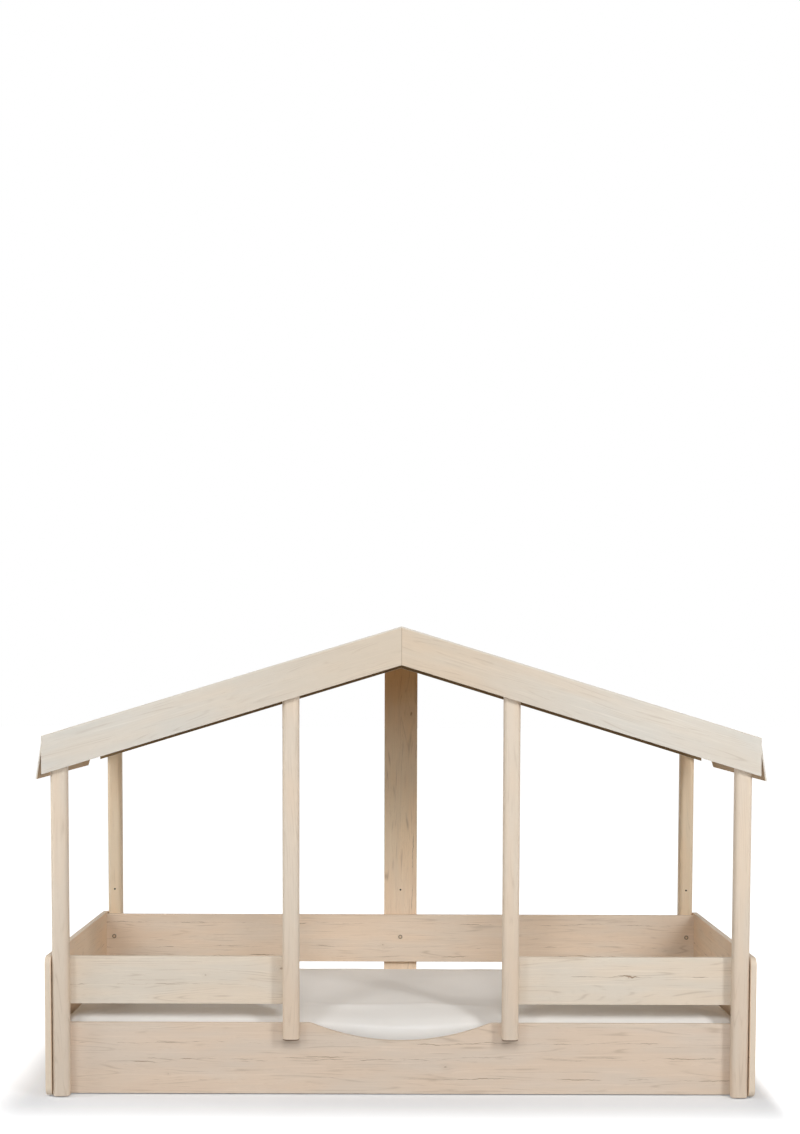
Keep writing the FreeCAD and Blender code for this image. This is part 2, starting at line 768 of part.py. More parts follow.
def fit_base():
    """Screws that hold the ledgers, the beam brackets and the ridge plate."""
    ledger_screws = []
    for node, rail, facing in (("front_ledger", "front_lower_rail", -1),
                               ("back_ledger", "back_lower_rail", 1)):
        for x in spread(ledger_x[0] + ledger_screw_margin, ledger_x[1] - ledger_screw_margin,
                        ledger_screws_per_side):
            point = Vector(x, facing * ledger_face_y, slat_bottom - ledger_height / 2)
            screw = (point, Y_AXIS * facing, ledger_depth + wood_screw_bite)
            ledger_screws.append(wood_screw(*screw))
            drill(wood_screw_hole(*screw), node, rail)
    add_group("ledger_screws", ledger_screws)

    bracket_screws = []
    bracket_middle = beam_bottom - steel_thickness + bracket_height / 2
    flange_y = beam_width / 2 + steel_thickness + (bracket_flange - steel_thickness) / 2
    for name, side in SIDES.items():
        for y in (-flange_y, flange_y):
            point = Vector(side * beam_end_x, y, bracket_middle)
            screw = (point, X_AXIS * side, steel_thickness + wood_screw_bite)
            bracket_screws.append(wood_screw(*screw))
            drill(wood_screw_hole(*screw), "beam_brackets", "end_panel_" + name)
        for x in (plate_half - plate_screw_edge - plate_screw_pitch, plate_half - plate_screw_edge):
            point = Vector(side * x, -post_y + steel_thickness, (plate_bottom + plate_top) / 2)
            screw = (point, Y_AXIS * -1, steel_thickness + wood_screw_bite)
            bracket_screws.append(wood_screw(*screw))
            drill(wood_screw_hole(*screw), "ridge_plate", "fascia_front_" + name)
    add_group("bracket_screws", bracket_screws)


def drill_pilot_holes():
    """Blind holes, open to the inside of the bed, for whatever the owner fixes there."""
    for x, node in ((-outer_post_x, "post_back_left"), (0, "back_centre_board"),
                    (outer_post_x, "post_back_right")):
        mouth = Vector(x, rail_y, upper_rail_top + pilot_above_rail)
        drill(rod(pilot_radius, mouth, Y_AXIS, -hole_gap, pilot_depth), node)


fit_bolts()
fit_end_panels()
fit_fascias()
fit_roof()
fit_base()
drill_pilot_holes()

# ---------------------------------------------------------------- write the pieces
os.makedirs("parts", exist_ok=True)
for node, shape in pieces.items():
    if node in holes:
        shape = shape.cut(holes[node])
    if not shape.isValid():
        print("not valid:", node)
    shape.exportStep("parts/%s.step" % node)
    print("%-26s %2d solids  %10.1f cm3" % (node, len(shape.Solids), shape.Volume / 1000))
print(len(pieces), "nodes")
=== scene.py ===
import itertools
import json
import math

import bmesh
import bpy
import numpy as np
from mathutils import Euler, Matrix, Vector


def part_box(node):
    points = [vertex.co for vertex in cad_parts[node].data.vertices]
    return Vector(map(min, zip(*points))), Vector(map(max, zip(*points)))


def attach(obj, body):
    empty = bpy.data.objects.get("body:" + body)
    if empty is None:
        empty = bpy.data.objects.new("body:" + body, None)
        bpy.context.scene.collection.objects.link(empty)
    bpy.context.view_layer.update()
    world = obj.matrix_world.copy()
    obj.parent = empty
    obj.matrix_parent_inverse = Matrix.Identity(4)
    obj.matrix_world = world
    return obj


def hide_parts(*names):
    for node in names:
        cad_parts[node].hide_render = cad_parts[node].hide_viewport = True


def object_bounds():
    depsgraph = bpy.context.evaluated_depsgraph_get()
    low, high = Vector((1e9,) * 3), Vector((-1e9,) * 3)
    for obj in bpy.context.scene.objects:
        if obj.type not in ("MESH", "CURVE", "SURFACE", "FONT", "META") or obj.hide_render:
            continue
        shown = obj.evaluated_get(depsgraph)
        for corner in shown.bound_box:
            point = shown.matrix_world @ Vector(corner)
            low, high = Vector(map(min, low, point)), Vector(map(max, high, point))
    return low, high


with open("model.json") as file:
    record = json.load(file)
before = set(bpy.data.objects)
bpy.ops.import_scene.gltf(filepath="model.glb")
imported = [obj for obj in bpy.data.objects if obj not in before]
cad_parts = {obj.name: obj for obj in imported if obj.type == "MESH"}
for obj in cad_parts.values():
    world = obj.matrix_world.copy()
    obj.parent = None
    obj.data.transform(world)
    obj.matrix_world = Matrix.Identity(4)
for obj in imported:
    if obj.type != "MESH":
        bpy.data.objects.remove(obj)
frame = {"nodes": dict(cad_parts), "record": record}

bl_info = {
    "name": "House frame bed finishes",
    "version": (1, 0, 0),
    "blender": (4, 5, 0),
    "location": "View3D > Sidebar > Bed",
    "description": "Finishes, mattress, fittings and studio for a low house-shaped bed",
    "category": "Object",
}

NODES = frame["nodes"]
CAD_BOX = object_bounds()
SIDES = {"left": -1, "right": 1}
SLOPES = (("left", "left_slope"), ("right", "right_slope"))
ROOF_SLOPE = math.radians(17.0)
SLATS = ["slat_%02d" % number for number in range(1, 12)]
MATTRESS_LOW, MATTRESS_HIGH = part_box("mattress")


# ---------------------------------------------------------------- shader building
class Value:
    """A socket of a shader tree. Arithmetic on it adds the Math nodes that work it out."""

    def __init__(self, shader, socket):
        self.shader = shader
        self.socket = socket

    def __add__(self, other):
        return self.shader.math("ADD", self, other)

    __radd__ = __add__

    def __mul__(self, other):
        return self.shader.math("MULTIPLY", self, other)

    def __sub__(self, other):
        return self.shader.math("SUBTRACT", self, other)

    def __rsub__(self, other):
        return self.shader.math("SUBTRACT", other, self)

    def __truediv__(self, other):
        return self.shader.math("DIVIDE", self, other)

    def __abs__(self):
        return self.shader.math("ABSOLUTE", self)

    def __pow__(self, power):
        return self.shader.math("POWER", self, power)


class Tree:
    """A node tree with one method that adds any node."""

    def node(self, kind, settings=None, inputs=None, output=0):
        """Add a node: its settings first, then the values or links of its sockets."""
        made = self.tree.nodes.new(kind)
        for key, value in (settings or {}).items():
            setattr(made, key, value)
        for key, value in (inputs or {}).items():
            self.feed(made.inputs[key], value)
        return Value(self, made.outputs[output])

    def feed(self, socket, value):
        if isinstance(value, Value):
            self.tree.links.new(value.socket, socket)
        else:
            socket.default_value = value

    def math(self, operation, *values, clamp=False):
        settings = {"operation": operation, "use_clamp": clamp}
        return self.node("ShaderNodeMath", settings, dict(enumerate(values)))

    def vector(self, operation, *values, output=0):
        return self.node("ShaderNodeVectorMath", {"operation": operation},
                         dict(enumerate(values)), output)

    def parts(self, vector):
        made = self.tree.nodes.new("ShaderNodeSeparateXYZ")
        self.feed(made.inputs[0], vector)
        return [Value(self, socket) for socket in made.outputs]

    def join(self, x, y, z):
        return self.node("ShaderNodeCombineXYZ", None, {"X": x, "Y": y, "Z": z})


class Shader(Tree):
    """One material and the tree that makes it."""

    def __init__(self, name):
        self.material = bpy.data.materials.new(name)
        self.material.use_nodes = True
        self.tree = self.material.node_tree
        self.tree.nodes.clear()
        self.output = self.tree.nodes.new("ShaderNodeOutputMaterial")

    def clamp(self, value):
        return self.math("ADD", value, 0.0, clamp=True)

    def smooth(self, value, low, high):
        """0 below low, 1 above high, and an eased step between."""
        return self.node("ShaderNodeMapRange", {"interpolation_type": "SMOOTHSTEP"},
                         {"Value": value, "From Min": low, "From Max": high})

    def fade(self, value, full, none):
        """1 on the side of full, 0 on the side of none, and an eased step between."""
        return 1.0 - self.smooth(value, full, none)

    def distance(self, first, second):
        """How far a point is away that lies so far off in two directions."""
        return self.math("SQRT", first * first + second * second)

    def wave(self, angle):
        """0 to 1 and back once for each turn of the angle."""
        return self.math("SINE", angle) * 0.5 + 0.5

    def strongest(self, marks):
        """The largest of several values at each point."""
        found = marks[0]
        for mark in marks[1:]:
            found = self.math("MAXIMUM", found, mark)
        return found

    def mix(self, share, first, second, blend="MIX"):
        """Mix two colours. Inputs 0, 6 and 7 are the factor and the two colours."""
        settings = {"data_type": "RGBA", "blend_type": blend}
        return self.node("ShaderNodeMix", settings, {0: share, 6: first, 7: second}, 2)

    def noise(self, vector, scale=1.0, detail=2.0, roughness=0.5):
        return self.node("ShaderNodeTexNoise", None,
                         {"Vector": vector, "Scale": scale, "Detail": detail,
                          "Roughness": roughness})

    def streaks(self, place, along, across, seed, detail=2.0, roughness=0.5):
        """Noise in streaks: so many per metre along X and across it, others for each seed."""
        scaled = self.vector("MULTIPLY", place, (along, across, across))
        moved = self.vector("ADD", scaled, (seed * 7.31, seed * 3.17, seed * 5.73))
        return self.noise(moved, 1.0, detail, roughness)

    def object_place(self):
        return self.node("ShaderNodeTexCoord", output="Object")

    def bump(self, height, distance, strength):
        return self.node("ShaderNodeBump", None,
                         {"Height": height, "Distance": distance, "Strength": strength})

    def finish(self, shader):
        """Let a closure be what the material or the world shows."""
        self.tree.links.new(shader.socket, self.output.inputs["Surface"])

    def surface(self, **inputs):
        """Finish with a Principled surface; sockets are named with _ for spaces."""
        named = {key.replace("_", " "): value for key, value in inputs.items()}
        self.finish(self.node("ShaderNodeBsdfPrincipled", None, named))
        return self.material


def linear(red, green, blue):
    """A display colour, 0 to 255, as the linear colour that a shader takes."""
    channels = []
    for channel in (red, green, blue):
        share = channel / 255.0
        low = share / 12.92
        high = ((share + 0.055) / 1.055) ** 2.4
        channels.append(low if share <= 0.04045 else high)
    return (*channels, 1.0)


def tinted(colour, red, green, blue):
    return (colour[0] * red, colour[1] * green, colour[2] * blue, 1.0)


def darker(colour, share):
    return tinted(colour, share, share, share)


# ---------------------------------------------------------------- wood
# Turns that bring each grain direction onto X, where the wood functions expect it
GRAIN_TURNS = {
    "along_x": (0.0, 0.0, 0.0),
    "along_y": (0.0, 0.0, -math.pi / 2),
    "upright": (0.0, math.pi / 2, 0.0),
    "left_slope": (0.0, ROOF_SLOPE, 0.0),
    "right_slope": (0.0, -ROOF_SLOPE, 0.0),
}


def turned_place(shader, grain):
    """Object coordinates turned so that X runs along the grain."""
    return shader.node("ShaderNodeMapping", None,
                       {"Vector": shader.object_place(), "Rotation": GRAIN_TURNS[grain]})


def grain_reach(node, grain):
    """Lowest and highest corner of a node in the coordinates that turned_place gives."""
    turn = np.array(Euler(GRAIN_TURNS[grain]).to_matrix())
    points = points_of(NODES[node].data) @ turn.T
    return points.min(0), points.max(0)


# How far the grain wanders to the side, slowly and in short ripples
GRAIN_WANDER = 0.026
GRAIN_RIPPLE = 0.0036

# Noise layers of the figure: streaks per metre along and across, detail, roughness, seed step
FIGURE_LAYERS = {
    "broad": (1.0, 12.0, 3.0, 0.55, 0.0),
    "patches": (6.5, 48.0, 3.0, 0.60, 5.5),
    "streaks": (4.2, 190.0, 3.0, 0.62, 1.3),
    "fibres": (22.0, 1100.0, 2.0, 0.65, 2.6),
    "pores": (45.0, 1350.0, 1.0, 0.50, 4.1),
}

# How far each thin mark reaches in metres: where it is full, and where it has ended
WORN_EDGE = (0.0005, 0.0032)
GLUE_LINE = (0.0001, 0.0003)
MITRE_LINE = (0.0004, 0.0013)
PAST_HOLE_SIDE = (0.0002, 0.0008)
PAST_HOLE_FLOOR = (0.0004, 0.0010)
CRACK_WIDTH = 0.0005
CRACK_WIDTH_MORE = 0.0013
CRACK_WANDER = 0.03

# Shares of red, green and blue that turn the pale tone warmer, cooler, limed, or to a band
WARM = (1.04, 0.955, 0.88)
COOL = (0.945, 0.985, 1.035)
LIMED = (1.12, 1.13, 1.15)
BAND = (0.92, 0.995, 1.08)

GRAIN_RELIEF = 0.00022
CONTOURS = 150.0
END_RINGS = 1900.0
HEART_DEPTH = 0.05


def bend_grain(shader, place, seed, knots):
    """Make the grain wander a little, and open round each knot (along, across, radius)."""
    flow = shader.streaks(place, 1.1, 5.0, seed)
    ripple = shader.streaks(place, 9.0, 22.0, seed + 0.7)
    shift = (flow - 0.5) * GRAIN_WANDER + (ripple - 0.5) * GRAIN_RIPPLE
    along, depth, across = shader.parts(place)
    for knot_along, knot_across, radius in knots:
        off_along = (along - knot_along) / 2.6
        off_across = across - knot_across
        distance = off_along * off_along + off_across * off_across
        nearness = shader.math("EXPONENT", distance * (-1.0 / (3.5 * radius) ** 2))
        shift = shift - off_across * nearness * 0.75
    return shader.join(along, depth, across + shift)


def knot_marks(shader, place, knots):
    """Dark centre and faint rings at each knot."""
    along, _, across = shader.parts(place)
    rough = shader.streaks(place, 160.0, 260.0, 3.3)
    marks = []
    for knot_along, knot_across, radius in knots:
        away = shader.distance((along - knot_along) / 1.6, across - knot_across)
        away = away + (rough - 0.5) * radius * 0.9
        core = shader.fade(away, radius * 0.1, radius * 0.5)
        rings = shader.wave(away * (15.0 / radius)) * shader.fade(away, radius * 0.4, radius * 2.6)
        marks.append(core * 0.8 + rings * 0.22)
    return shader.strongest(marks)


def crack_marks(shader, place, seed, cracks):
    """Hair cracks near given heights, broken up along the board."""
    across = shader.parts(place)[2]
    marks = []
    for number, height in enumerate(cracks):
        local = seed + number * 1.7
        wander = shader.streaks(place, 4.5, 0.0, local, detail=6.0, roughness=0.66)
        line = height + (wander - 0.5) * CRACK_WANDER
        weight = shader.streaks(place, 10.0, 0.0, local + 0.4, detail=4.0, roughness=0.6)
        width = shader.smooth(weight, 0.50, 0.74) * CRACK_WIDTH_MORE + CRACK_WIDTH
        mark = shader.fade(abs(across - line), width * 0.3, width)
        marks.append(mark * shader.smooth(weight, 0.44, 0.62))
    return shader.strongest(marks)


def figure_lines(shader, bent, seed):
    """Thin contour lines of the growth rings, as a sawn or printed board shows them."""
    rings = shader.streaks(bent, 0.8, 15.0, seed + 8.2, detail=1.5)
    parted = shader.streaks(bent, 9.0, 60.0, seed + 9.4, detail=3.0)
    return shader.wave(rings * CONTOURS) ** 7.0 * shader.smooth(parted, 0.44, 0.66)


def edge_wear(shader, place, reach, seed):
    """Near 1 along the four long edges of a board, broken up along them."""
    (_, depth_low, across_low), (_, depth_high, across_high) = reach
    _, depth, across = shader.parts(place)
    depth_gap = shader.math("MINIMUM", depth - depth_low, depth_high - depth)
    across_gap = shader.math("MINIMUM", across - across_low, across_high - across)
    corner = shader.fade(depth_gap, *WORN_EDGE) * shader.fade(across_gap, *WORN_EDGE)
    broken = shader.streaks(place, 14.0, 90.0, seed, detail=3.0, roughness=0.7)
    return corner * (shader.smooth(broken, 0.36, 0.6) * 0.7 + 0.3)


def glue_lines(shader, place, reach, plies):
    """Dark lines between the plies of a thin sheet, which show on its cut edges alone."""
    low, high = reach[0][2], reach[1][2]
    across = shader.parts(place)[2]
    lines = [low + (high - low) * number / plies for number in range(1, plies)]
    return shader.strongest([shader.fade(abs(across - line), *GLUE_LINE) for line in lines])


def hole_shade_mask(shader, hole):
    """1 inside a drilled hole that runs along Y, given as (x, z, radius, y of its bottom), where
    painted shade goes.
    """
    hole_x, hole_z, radius, bottom = hole
    x, y, z = shader.parts(shader.object_place())
    past_side = shader.distance(x - hole_x, z - hole_z) - radius
    return shader.fade(past_side, *PAST_HOLE_SIDE) * shader.fade(y - bottom, *PAST_HOLE_FLOOR)


def facing_share(shader, axis):
    """1 where a face points along the axis, -1 where it points the other way."""
    normal = shader.node("ShaderNodeNewGeometry", output="Normal")
    return shader.vector("DOT_PRODUCT", normal, tuple(axis), output="Value")


def end_grain(shader, seed, grain):
    """How far a face is cut across the grain, and the ring tone that it shows there."""
    axis = Euler(GRAIN_TURNS[grain]).to_matrix().transposed() @ Vector((1.0, 0.0, 0.0))
    place = turned_place(shader, grain)
    _, depth, across = shader.parts(place)
    heart = across + HEART_DEPTH + (seed % 1.0) * 0.03
    wobble = shader.streaks(place, 20.0, 60.0, seed)
    rings = shader.wave((shader.distance(depth, heart) + wobble * 0.002) * END_RINGS)
    return shader.smooth(abs(facing_share(shader, axis)), 0.8, 0.95), rings


def raw_sides(shader, coated, tone, outward, raw_shade_share):
    """Keep the coating on the outward face, with a raw back and raw cut edges. A raw_shade_share
    under 1 darkens the raw back as painted shade.
    """
    facing = facing_share(shader, outward)
    raw = darker(wood().raw_back, raw_shade_share)
    raw = shader.mix(tone, darker(raw, 0.86), raw)
    uncoated = shader.mix(shader.smooth(facing, -0.75, -0.45), raw, tuple(wood().raw_edge))
    return shader.mix(shader.smooth(facing, 0.45, 0.75), uncoated, coated)


def edge_band(shader, coated, streaks, pale, banded):
    """Put an even strip on every face that doesn't point along the banded direction."""
    strip = tinted(pale, *BAND)
    strip = shader.mix(streaks, darker(strip, 0.93), strip)
    on_edge = shader.fade(abs(facing_share(shader, banded)), 0.45, 0.75)
    return shader.mix(on_edge, coated, strip)


def wood_finish(node, grain, tones, seed, cracks=(), knots=(), fibre=1.0, roughness=0.52,
                cut_ends=False, plies=0, outward=None, raw_shade_share=1.0, banded=None,
                joint_line=False, shades=(), hole=None):
    """Dress one CAD node in pale wood whose grain runs the given way.

    Slow patches, streaks, fibres, pores, ring lines, hair cracks and knots run along the
    grain. tones holds the pale, the middle and the mark colour. A sheet with an outward
    direction is coated on that face and raw brown on the other, and a smaller raw_shade_share
    darkens that raw side with painted shade. A board that is banded across a direction has an
    even strip on its edges. Each shade (axis, full, none, colour) darkens the wood from one
    distance along an axis to another: a change of tone on the fascias and painted shade on
    the other pieces. A drilled hole gets painted shade inside, near black.
    """
    pale, middle, mark_colour = tones
    shader = Shader("wood_" + node)
    place = turned_place(shader, grain)
    bent = bend_grain(shader, place, seed, knots)
    reach = grain_reach(node, grain)
    broad, patches, streaks, fibres, pores = (
        shader.streaks(bent, along, across, seed + step, detail, rough)
        for along, across, detail, rough, step in FIGURE_LAYERS.values())

    tone = (broad - 0.5) + (patches - 0.5) * 1.1 + (streaks - 0.5) * fibre
    tone = shader.clamp(tone + (fibres - 0.5) * 0.45 * fibre + 0.5)
    warmth = shader.smooth(shader.streaks(place, 3.4, 15.0, seed + 6.8), 0.34, 0.66)
    tint = shader.mix(warmth, tinted(pale, *COOL), tinted(pale, *WARM))
    colour = shader.mix(0.35, shader.mix(tone, middle, pale), tint)

    dash = shader.smooth(pores, 0.60, 0.72) * shader.smooth(patches, 0.40, 0.62)
    lines = figure_lines(shader, bent, seed) * fibre
    marks, cuts = [dash * (0.20 * fibre), lines * 0.30], [dash, lines * 0.4]
    if cracks:
        found = crack_marks(shader, bent, seed, cracks) * 0.9
        marks.append(found)
        cuts.append(found)
    if knots:
        marks.append(knot_marks(shader, place, knots) * 0.7)
    colour = shader.mix(shader.clamp(shader.strongest(marks)), colour, mark_colour)

    limed = tuple(min(channel, 1.0) for channel in tinted(pale, *LIMED))
    chalk = shader.smooth(streaks, 0.56, 0.70) * shader.fade(patches, 0.42, 0.60)
    colour = shader.mix(chalk * 0.35, colour, limed)
    wear = edge_wear(shader, place, reach, seed + 3.9)
    colour = shader.mix(wear * 0.45, colour, limed)
    for axis, full, none, shade in shades:
        along_axis = abs(shader.parts(shader.object_place())[axis])
        colour = shader.mix(shader.fade(along_axis, full, none), colour, shade, blend="MULTIPLY")
    if outward is not None:
        colour = raw_sides(shader, colour, tone, outward, raw_shade_share)
    if banded is not None:
        colour = edge_band(shader, colour, streaks, pale, banded)
    if plies:
        colour = shader.mix(glue_lines(shader, place, reach, plies) * 0.25, colour, mark_colour)
    if cut_ends:
        across_cut, rings = end_grain(shader, seed, grain)
        ends = shader.mix(rings, darker(middle, 0.66), darker(middle, 0.86))
        colour = shader.mix(across_cut, colour, ends)
    if joint_line:
        from_ridge = abs(shader.parts(shader.object_place())[0])
        colour = shader.mix(shader.fade(from_ridge, *MITRE_LINE) * 0.6, colour, mark_colour)
    if hole:
        # Painted shade fills the drilled hole, near black.
        colour = shader.mix(hole_shade_mask(shader, hole), colour, darker(mark_colour, 0.06))

    height = fibres * 0.4 + streaks * 0.4 - shader.strongest(cuts) * 0.8
    gloss = roughness + (fibres - 0.5) * 0.12 + dash * 0.15 - wear * 0.08
    dress([node], shader.surface(Base_Color=colour, Roughness=gloss, Specular_IOR_Level=0.25,
                                 Normal=shader.bump(height, GRAIN_RELIEF, 0.5)))


def cover(mesh, *materials):
    """Give a mesh these materials and no others."""
    mesh.materials.clear()
    for material in materials:
        mesh.materials.append(material)


def dress(nodes, material):
    """Give CAD nodes one material in place of their plain one."""
    for node in nodes:
        cover(NODES[node].data, material)


# ---------------------------------------------------------------- shared mesh work
def link(name, data):
    """A new object in the scene for a mesh, curve, lamp or camera."""
    obj = bpy.data.objects.new(name, data)
    bpy.context.scene.collection.objects.link(obj)
    return obj


def merged_copy(node):
    """A CAD node's mesh with its loose triangles joined and its stored normals left off."""
    mesh = NODES[node].data.copy()
    stored = mesh.attributes.get("custom_normal")
    if stored is not None:
        mesh.attributes.remove(stored)
    work = bmesh.new()
    work.from_mesh(mesh)
    bmesh.ops.remove_doubles(work, verts=work.verts, dist=1e-5)
    work.to_mesh(mesh)
    work.free()
    return mesh


def applied(obj):
    """The mesh of an object with its modifiers worked out."""
    graph = bpy.context.evaluated_depsgraph_get()
    mesh = bpy.data.meshes.new_from_object(obj.evaluated_get(graph))
    obj.modifiers.clear()
    return mesh


def points_of(mesh):
    points = np.empty(len(mesh.vertices) * 3)
    mesh.vertices.foreach_get("co", points)
    return points.reshape(-1, 3)


def set_points(mesh, points):
    mesh.vertices.foreach_set("co", points.ravel())
    mesh.update()


def middle_of(points):
    return (points.max(0) + points.min(0)) / 2


def make_smooth(mesh):
    mesh.polygons.foreach_set("use_smooth", [True] * len(mesh.polygons))


def place_piece(obj, body, slot, *replaced):
    """Let a finished piece ride on its body and stand for CAD nodes, which it hides. slot is not
    used.
    """
    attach(obj, body)
    if replaced:
        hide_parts(*replaced)


def solids_of(node):
    """Points of each separate solid of a CAD node."""
    mesh = merged_copy(node)
    work = bmesh.new()
    work.from_mesh(mesh)
    left = set(work.verts)
    found = []
    while left:
        group, edge_of_group = [], [left.pop()]
        while edge_of_group:
            vert = edge_of_group.pop()
            group.append(tuple(vert.co))
            for edge in vert.link_edges:
                other = edge.other_vert(vert)
                if other in left:
                    left.remove(other)
                    edge_of_group.append(other)
        found.append(np.array(group))
    work.free()
    bpy.data.meshes.remove(mesh)
    found.sort(key=lambda points: tuple(np.round(points.mean(0), 4)))
    return found


def turned_parts(node, long_axis):
    """Where each round fitting of a node sits, as (middle of outer face, direction, length).

    A screw's axis is its longest direction and a disc's its shortest. The outer end is
    the one with the wider face, and the direction points out of it.
    """
    places = []
    for points in solids_of(node):
        middle = middle_of(points)
        _, _, rows = np.linalg.svd(points - points.mean(0), full_matrices=False)
        axis = rows[0] if long_axis else rows[2]
        along = (points - middle) @ axis
        radial = np.linalg.norm(points - middle - np.outer(along, axis), axis=1)
        widest = along[radial > radial.max() * 0.98]
        if long_axis and widest.mean() < (along.max() + along.min()) / 2:
            axis, along = -axis, -along
        centre = middle + axis * along.max()
        places.append((centre, axis, along.max() - along.min()))
    return places


# ---------------------------------------------------------------- geometry node trees
class Geometry(Tree):
    """One Geometry Nodes tree with named inputs."""

    def __init__(self, name):
        self.tree = bpy.data.node_groups.new(name, "GeometryNodeTree")
        for way in ("INPUT", "OUTPUT"):
            self.tree.interface.new_socket("Geometry", in_out=way,
                                           socket_type="NodeSocketGeometry")
        self.source = self.tree.nodes.new("NodeGroupInput")
        self.result = self.tree.nodes.new("NodeGroupOutput")

    def sizes(self, *names):
        """Named lengths that the modifier sets."""
        for name in names:
            self.tree.interface.new_socket(name, in_out="INPUT", socket_type="NodeSocketFloat")
        return [Value(self, self.source.outputs[name]) for name in names]

    def geometry(self):
        return Value(self, self.source.outputs["Geometry"])

    def cylinder(self, radius, depth, middle_z, sides):
        """A closed cylinder on the Z axis."""
        made = self.node("GeometryNodeMeshCylinder", None,
                         {"Vertices": sides, "Radius": radius, "Depth": depth}, "Mesh")
        return self.move(made, middle_z)

    def cone(self, low_radius, high_radius, depth, bottom_z, sides):
        """A closed cone frustum on the Z axis, from bottom_z up."""
        made = self.node("GeometryNodeMeshCone", None,
                         {"Vertices": sides, "Radius Top": high_radius,
                          "Radius Bottom": low_radius, "Depth": depth}, "Mesh")
        return self.move(made, bottom_z)

    def block(self, length, width, height, middle_z):
        made = self.node("GeometryNodeMeshCube", None,
                         {"Size": self.join(length, width, height)}, "Mesh")
        return self.move(made, middle_z)

    def move(self, geometry, z, x=0.0):
        return self.node("GeometryNodeTransform", None,
                         {"Geometry": geometry, "Translation": self.join(x, 0.0, z)})

    def boolean(self, operation, first, *others):
        """Join closed meshes, or cut the others out of the first."""
        made = self.tree.nodes.new("GeometryNodeMeshBoolean")
        made.operation = operation
        made.solver = "MANIFOLD"
        if operation == "DIFFERENCE":
            self.feed(made.inputs[0], first)
        else:
            others = (first,) + others
        for other in others:
            self.tree.links.new(other.socket, made.inputs[1])
        return Value(self, made.outputs[0])

    def place_and_finish(self, part, material, random_turn=0.0):
        """Set the part on every source point, facing its stored direction, as real mesh."""
        facing = self.node("GeometryNodeInputNamedAttribute", {"data_type": "FLOAT_VECTOR"},
                           {"Name": "outward"})
        turn = self.node("FunctionNodeAlignRotationToVector", {"axis": "Z"}, {"Vector": facing})
        spin = self.node("FunctionNodeRandomValue", {"data_type": "FLOAT"},
                         {"Min": 0.0, "Max": random_turn, "Seed": 11}, 1)
        spin = self.node("FunctionNodeAxisAngleToRotation", None,
                         {"Axis": (0.0, 0.0, 1.0), "Angle": spin})
        turn = self.node("FunctionNodeRotateRotation", {"rotation_space": "LOCAL"},
                         {"Rotation": turn, "Rotate By": spin})
        points = self.node("GeometryNodeInstanceOnPoints", None,
                           {"Points": self.geometry(), "Instance": part, "Rotation": turn})
        self.finish(points, material)

    def finish(self, instances, material):
        real = self.node("GeometryNodeRealizeInstances", None, {"Geometry": instances})
        done = self.node("GeometryNodeSetMaterial", None,
                         {"Geometry": real, "Material": material})
        self.tree.links.new(done.socket, self.result.inputs["Geometry"])


def point_mesh(name, places):
    """Source points for a tree, each with the direction that its part faces."""
    mesh = bpy.data.meshes.new(name)
    mesh.from_pydata([tuple(place[0]) for place in places], [], [])
    facing = mesh.attributes.new("outward", "FLOAT_VECTOR", "POINT")
    facing.data.foreach_set("vector", np.array([place[1] for place in places]).ravel())
    return mesh


def grow(name, source, geometry, sizes):
    """Run a tree on a source mesh and keep the result as a plain mesh."""
    obj = link(name, source)
    modifier = obj.modifiers.new("tree", "NODES")
    modifier.node_group = geometry.tree
    for item in geometry.tree.interface.items_tree:
        if item.in_out == "INPUT" and item.name in sizes:
            modifier[item.identifier] = sizes[item.name]
    mesh = applied(obj)
    if not mesh.polygons:
        raise RuntimeError(name + " came out empty")
    obj.data = mesh
    return obj


# ---------------------------------------------------------------- settings
def colour_property(name, description, colour):
    return bpy.props.FloatVectorProperty(name=name, description=description, subtype="COLOR",
                                         size=4, min=0.0, max=1.0, default=colour)


def length_property(name, description, metres):
    return bpy.props.FloatProperty(name=name, description=description, default=metres,
                                   unit="LENGTH", precision=4)


def number_property(name, description, value):
    return bpy.props.FloatProperty(name=name, description=description, default=value, min=0.0)


def angle_property(name, description, degrees):
    return bpy.props.FloatProperty(name=name, description=description, subtype="ANGLE",
                                   default=math.radians(degrees))


class BedWoodSettings(bpy.types.PropertyGroup):
    """Colours of the boards, posts and slats."""

    fascia: colour_property("Fascia", "Pale tone of the roof fascias", linear(222, 216, 205))
    guard: colour_property("Guard", "Pale tone of the guard boards", linear(229, 217, 200))
    rail: colour_property("Rail", "Pale tone of the rails", linear(224, 207, 189))
    back_rail: colour_property("Back rails", "Pale tone of the two rails at the back",
                               linear(235, 218, 199))
    upright: colour_property("Centre board", "Pale tone of the middle back board",
                             linear(255, 234, 204))
    panel: colour_property("End panel", "Pale tone of the end panels", linear(238, 214, 187))
    post: colour_property("Post", "Pale tone of the front posts", linear(228, 213, 194))
    back_post: colour_property("Back post", "Pale tone of the posts at the back",
                               linear(245, 225, 196))
    sheet: colour_property("Roof sheet", "Pale tone of the thin roof sheets",
                           linear(222, 206, 184))
    raw_back: colour_property("Raw back", "Uncoated inner face of the thin sheets",
                              linear(190, 156, 108))
    raw_edge: colour_property("Raw edge", "Cut edges of the thin sheets", linear(222, 216, 205))
    softwood: colour_property("Softwood", "Pale tone of slats, battens and rafters",
                              linear(232, 212, 178))
    mark: colour_property("Marks", "Pores, cracks and knots", linear(150, 124, 98))
    contrast: number_property("Contrast", "Depth of the darker tone", 0.86)


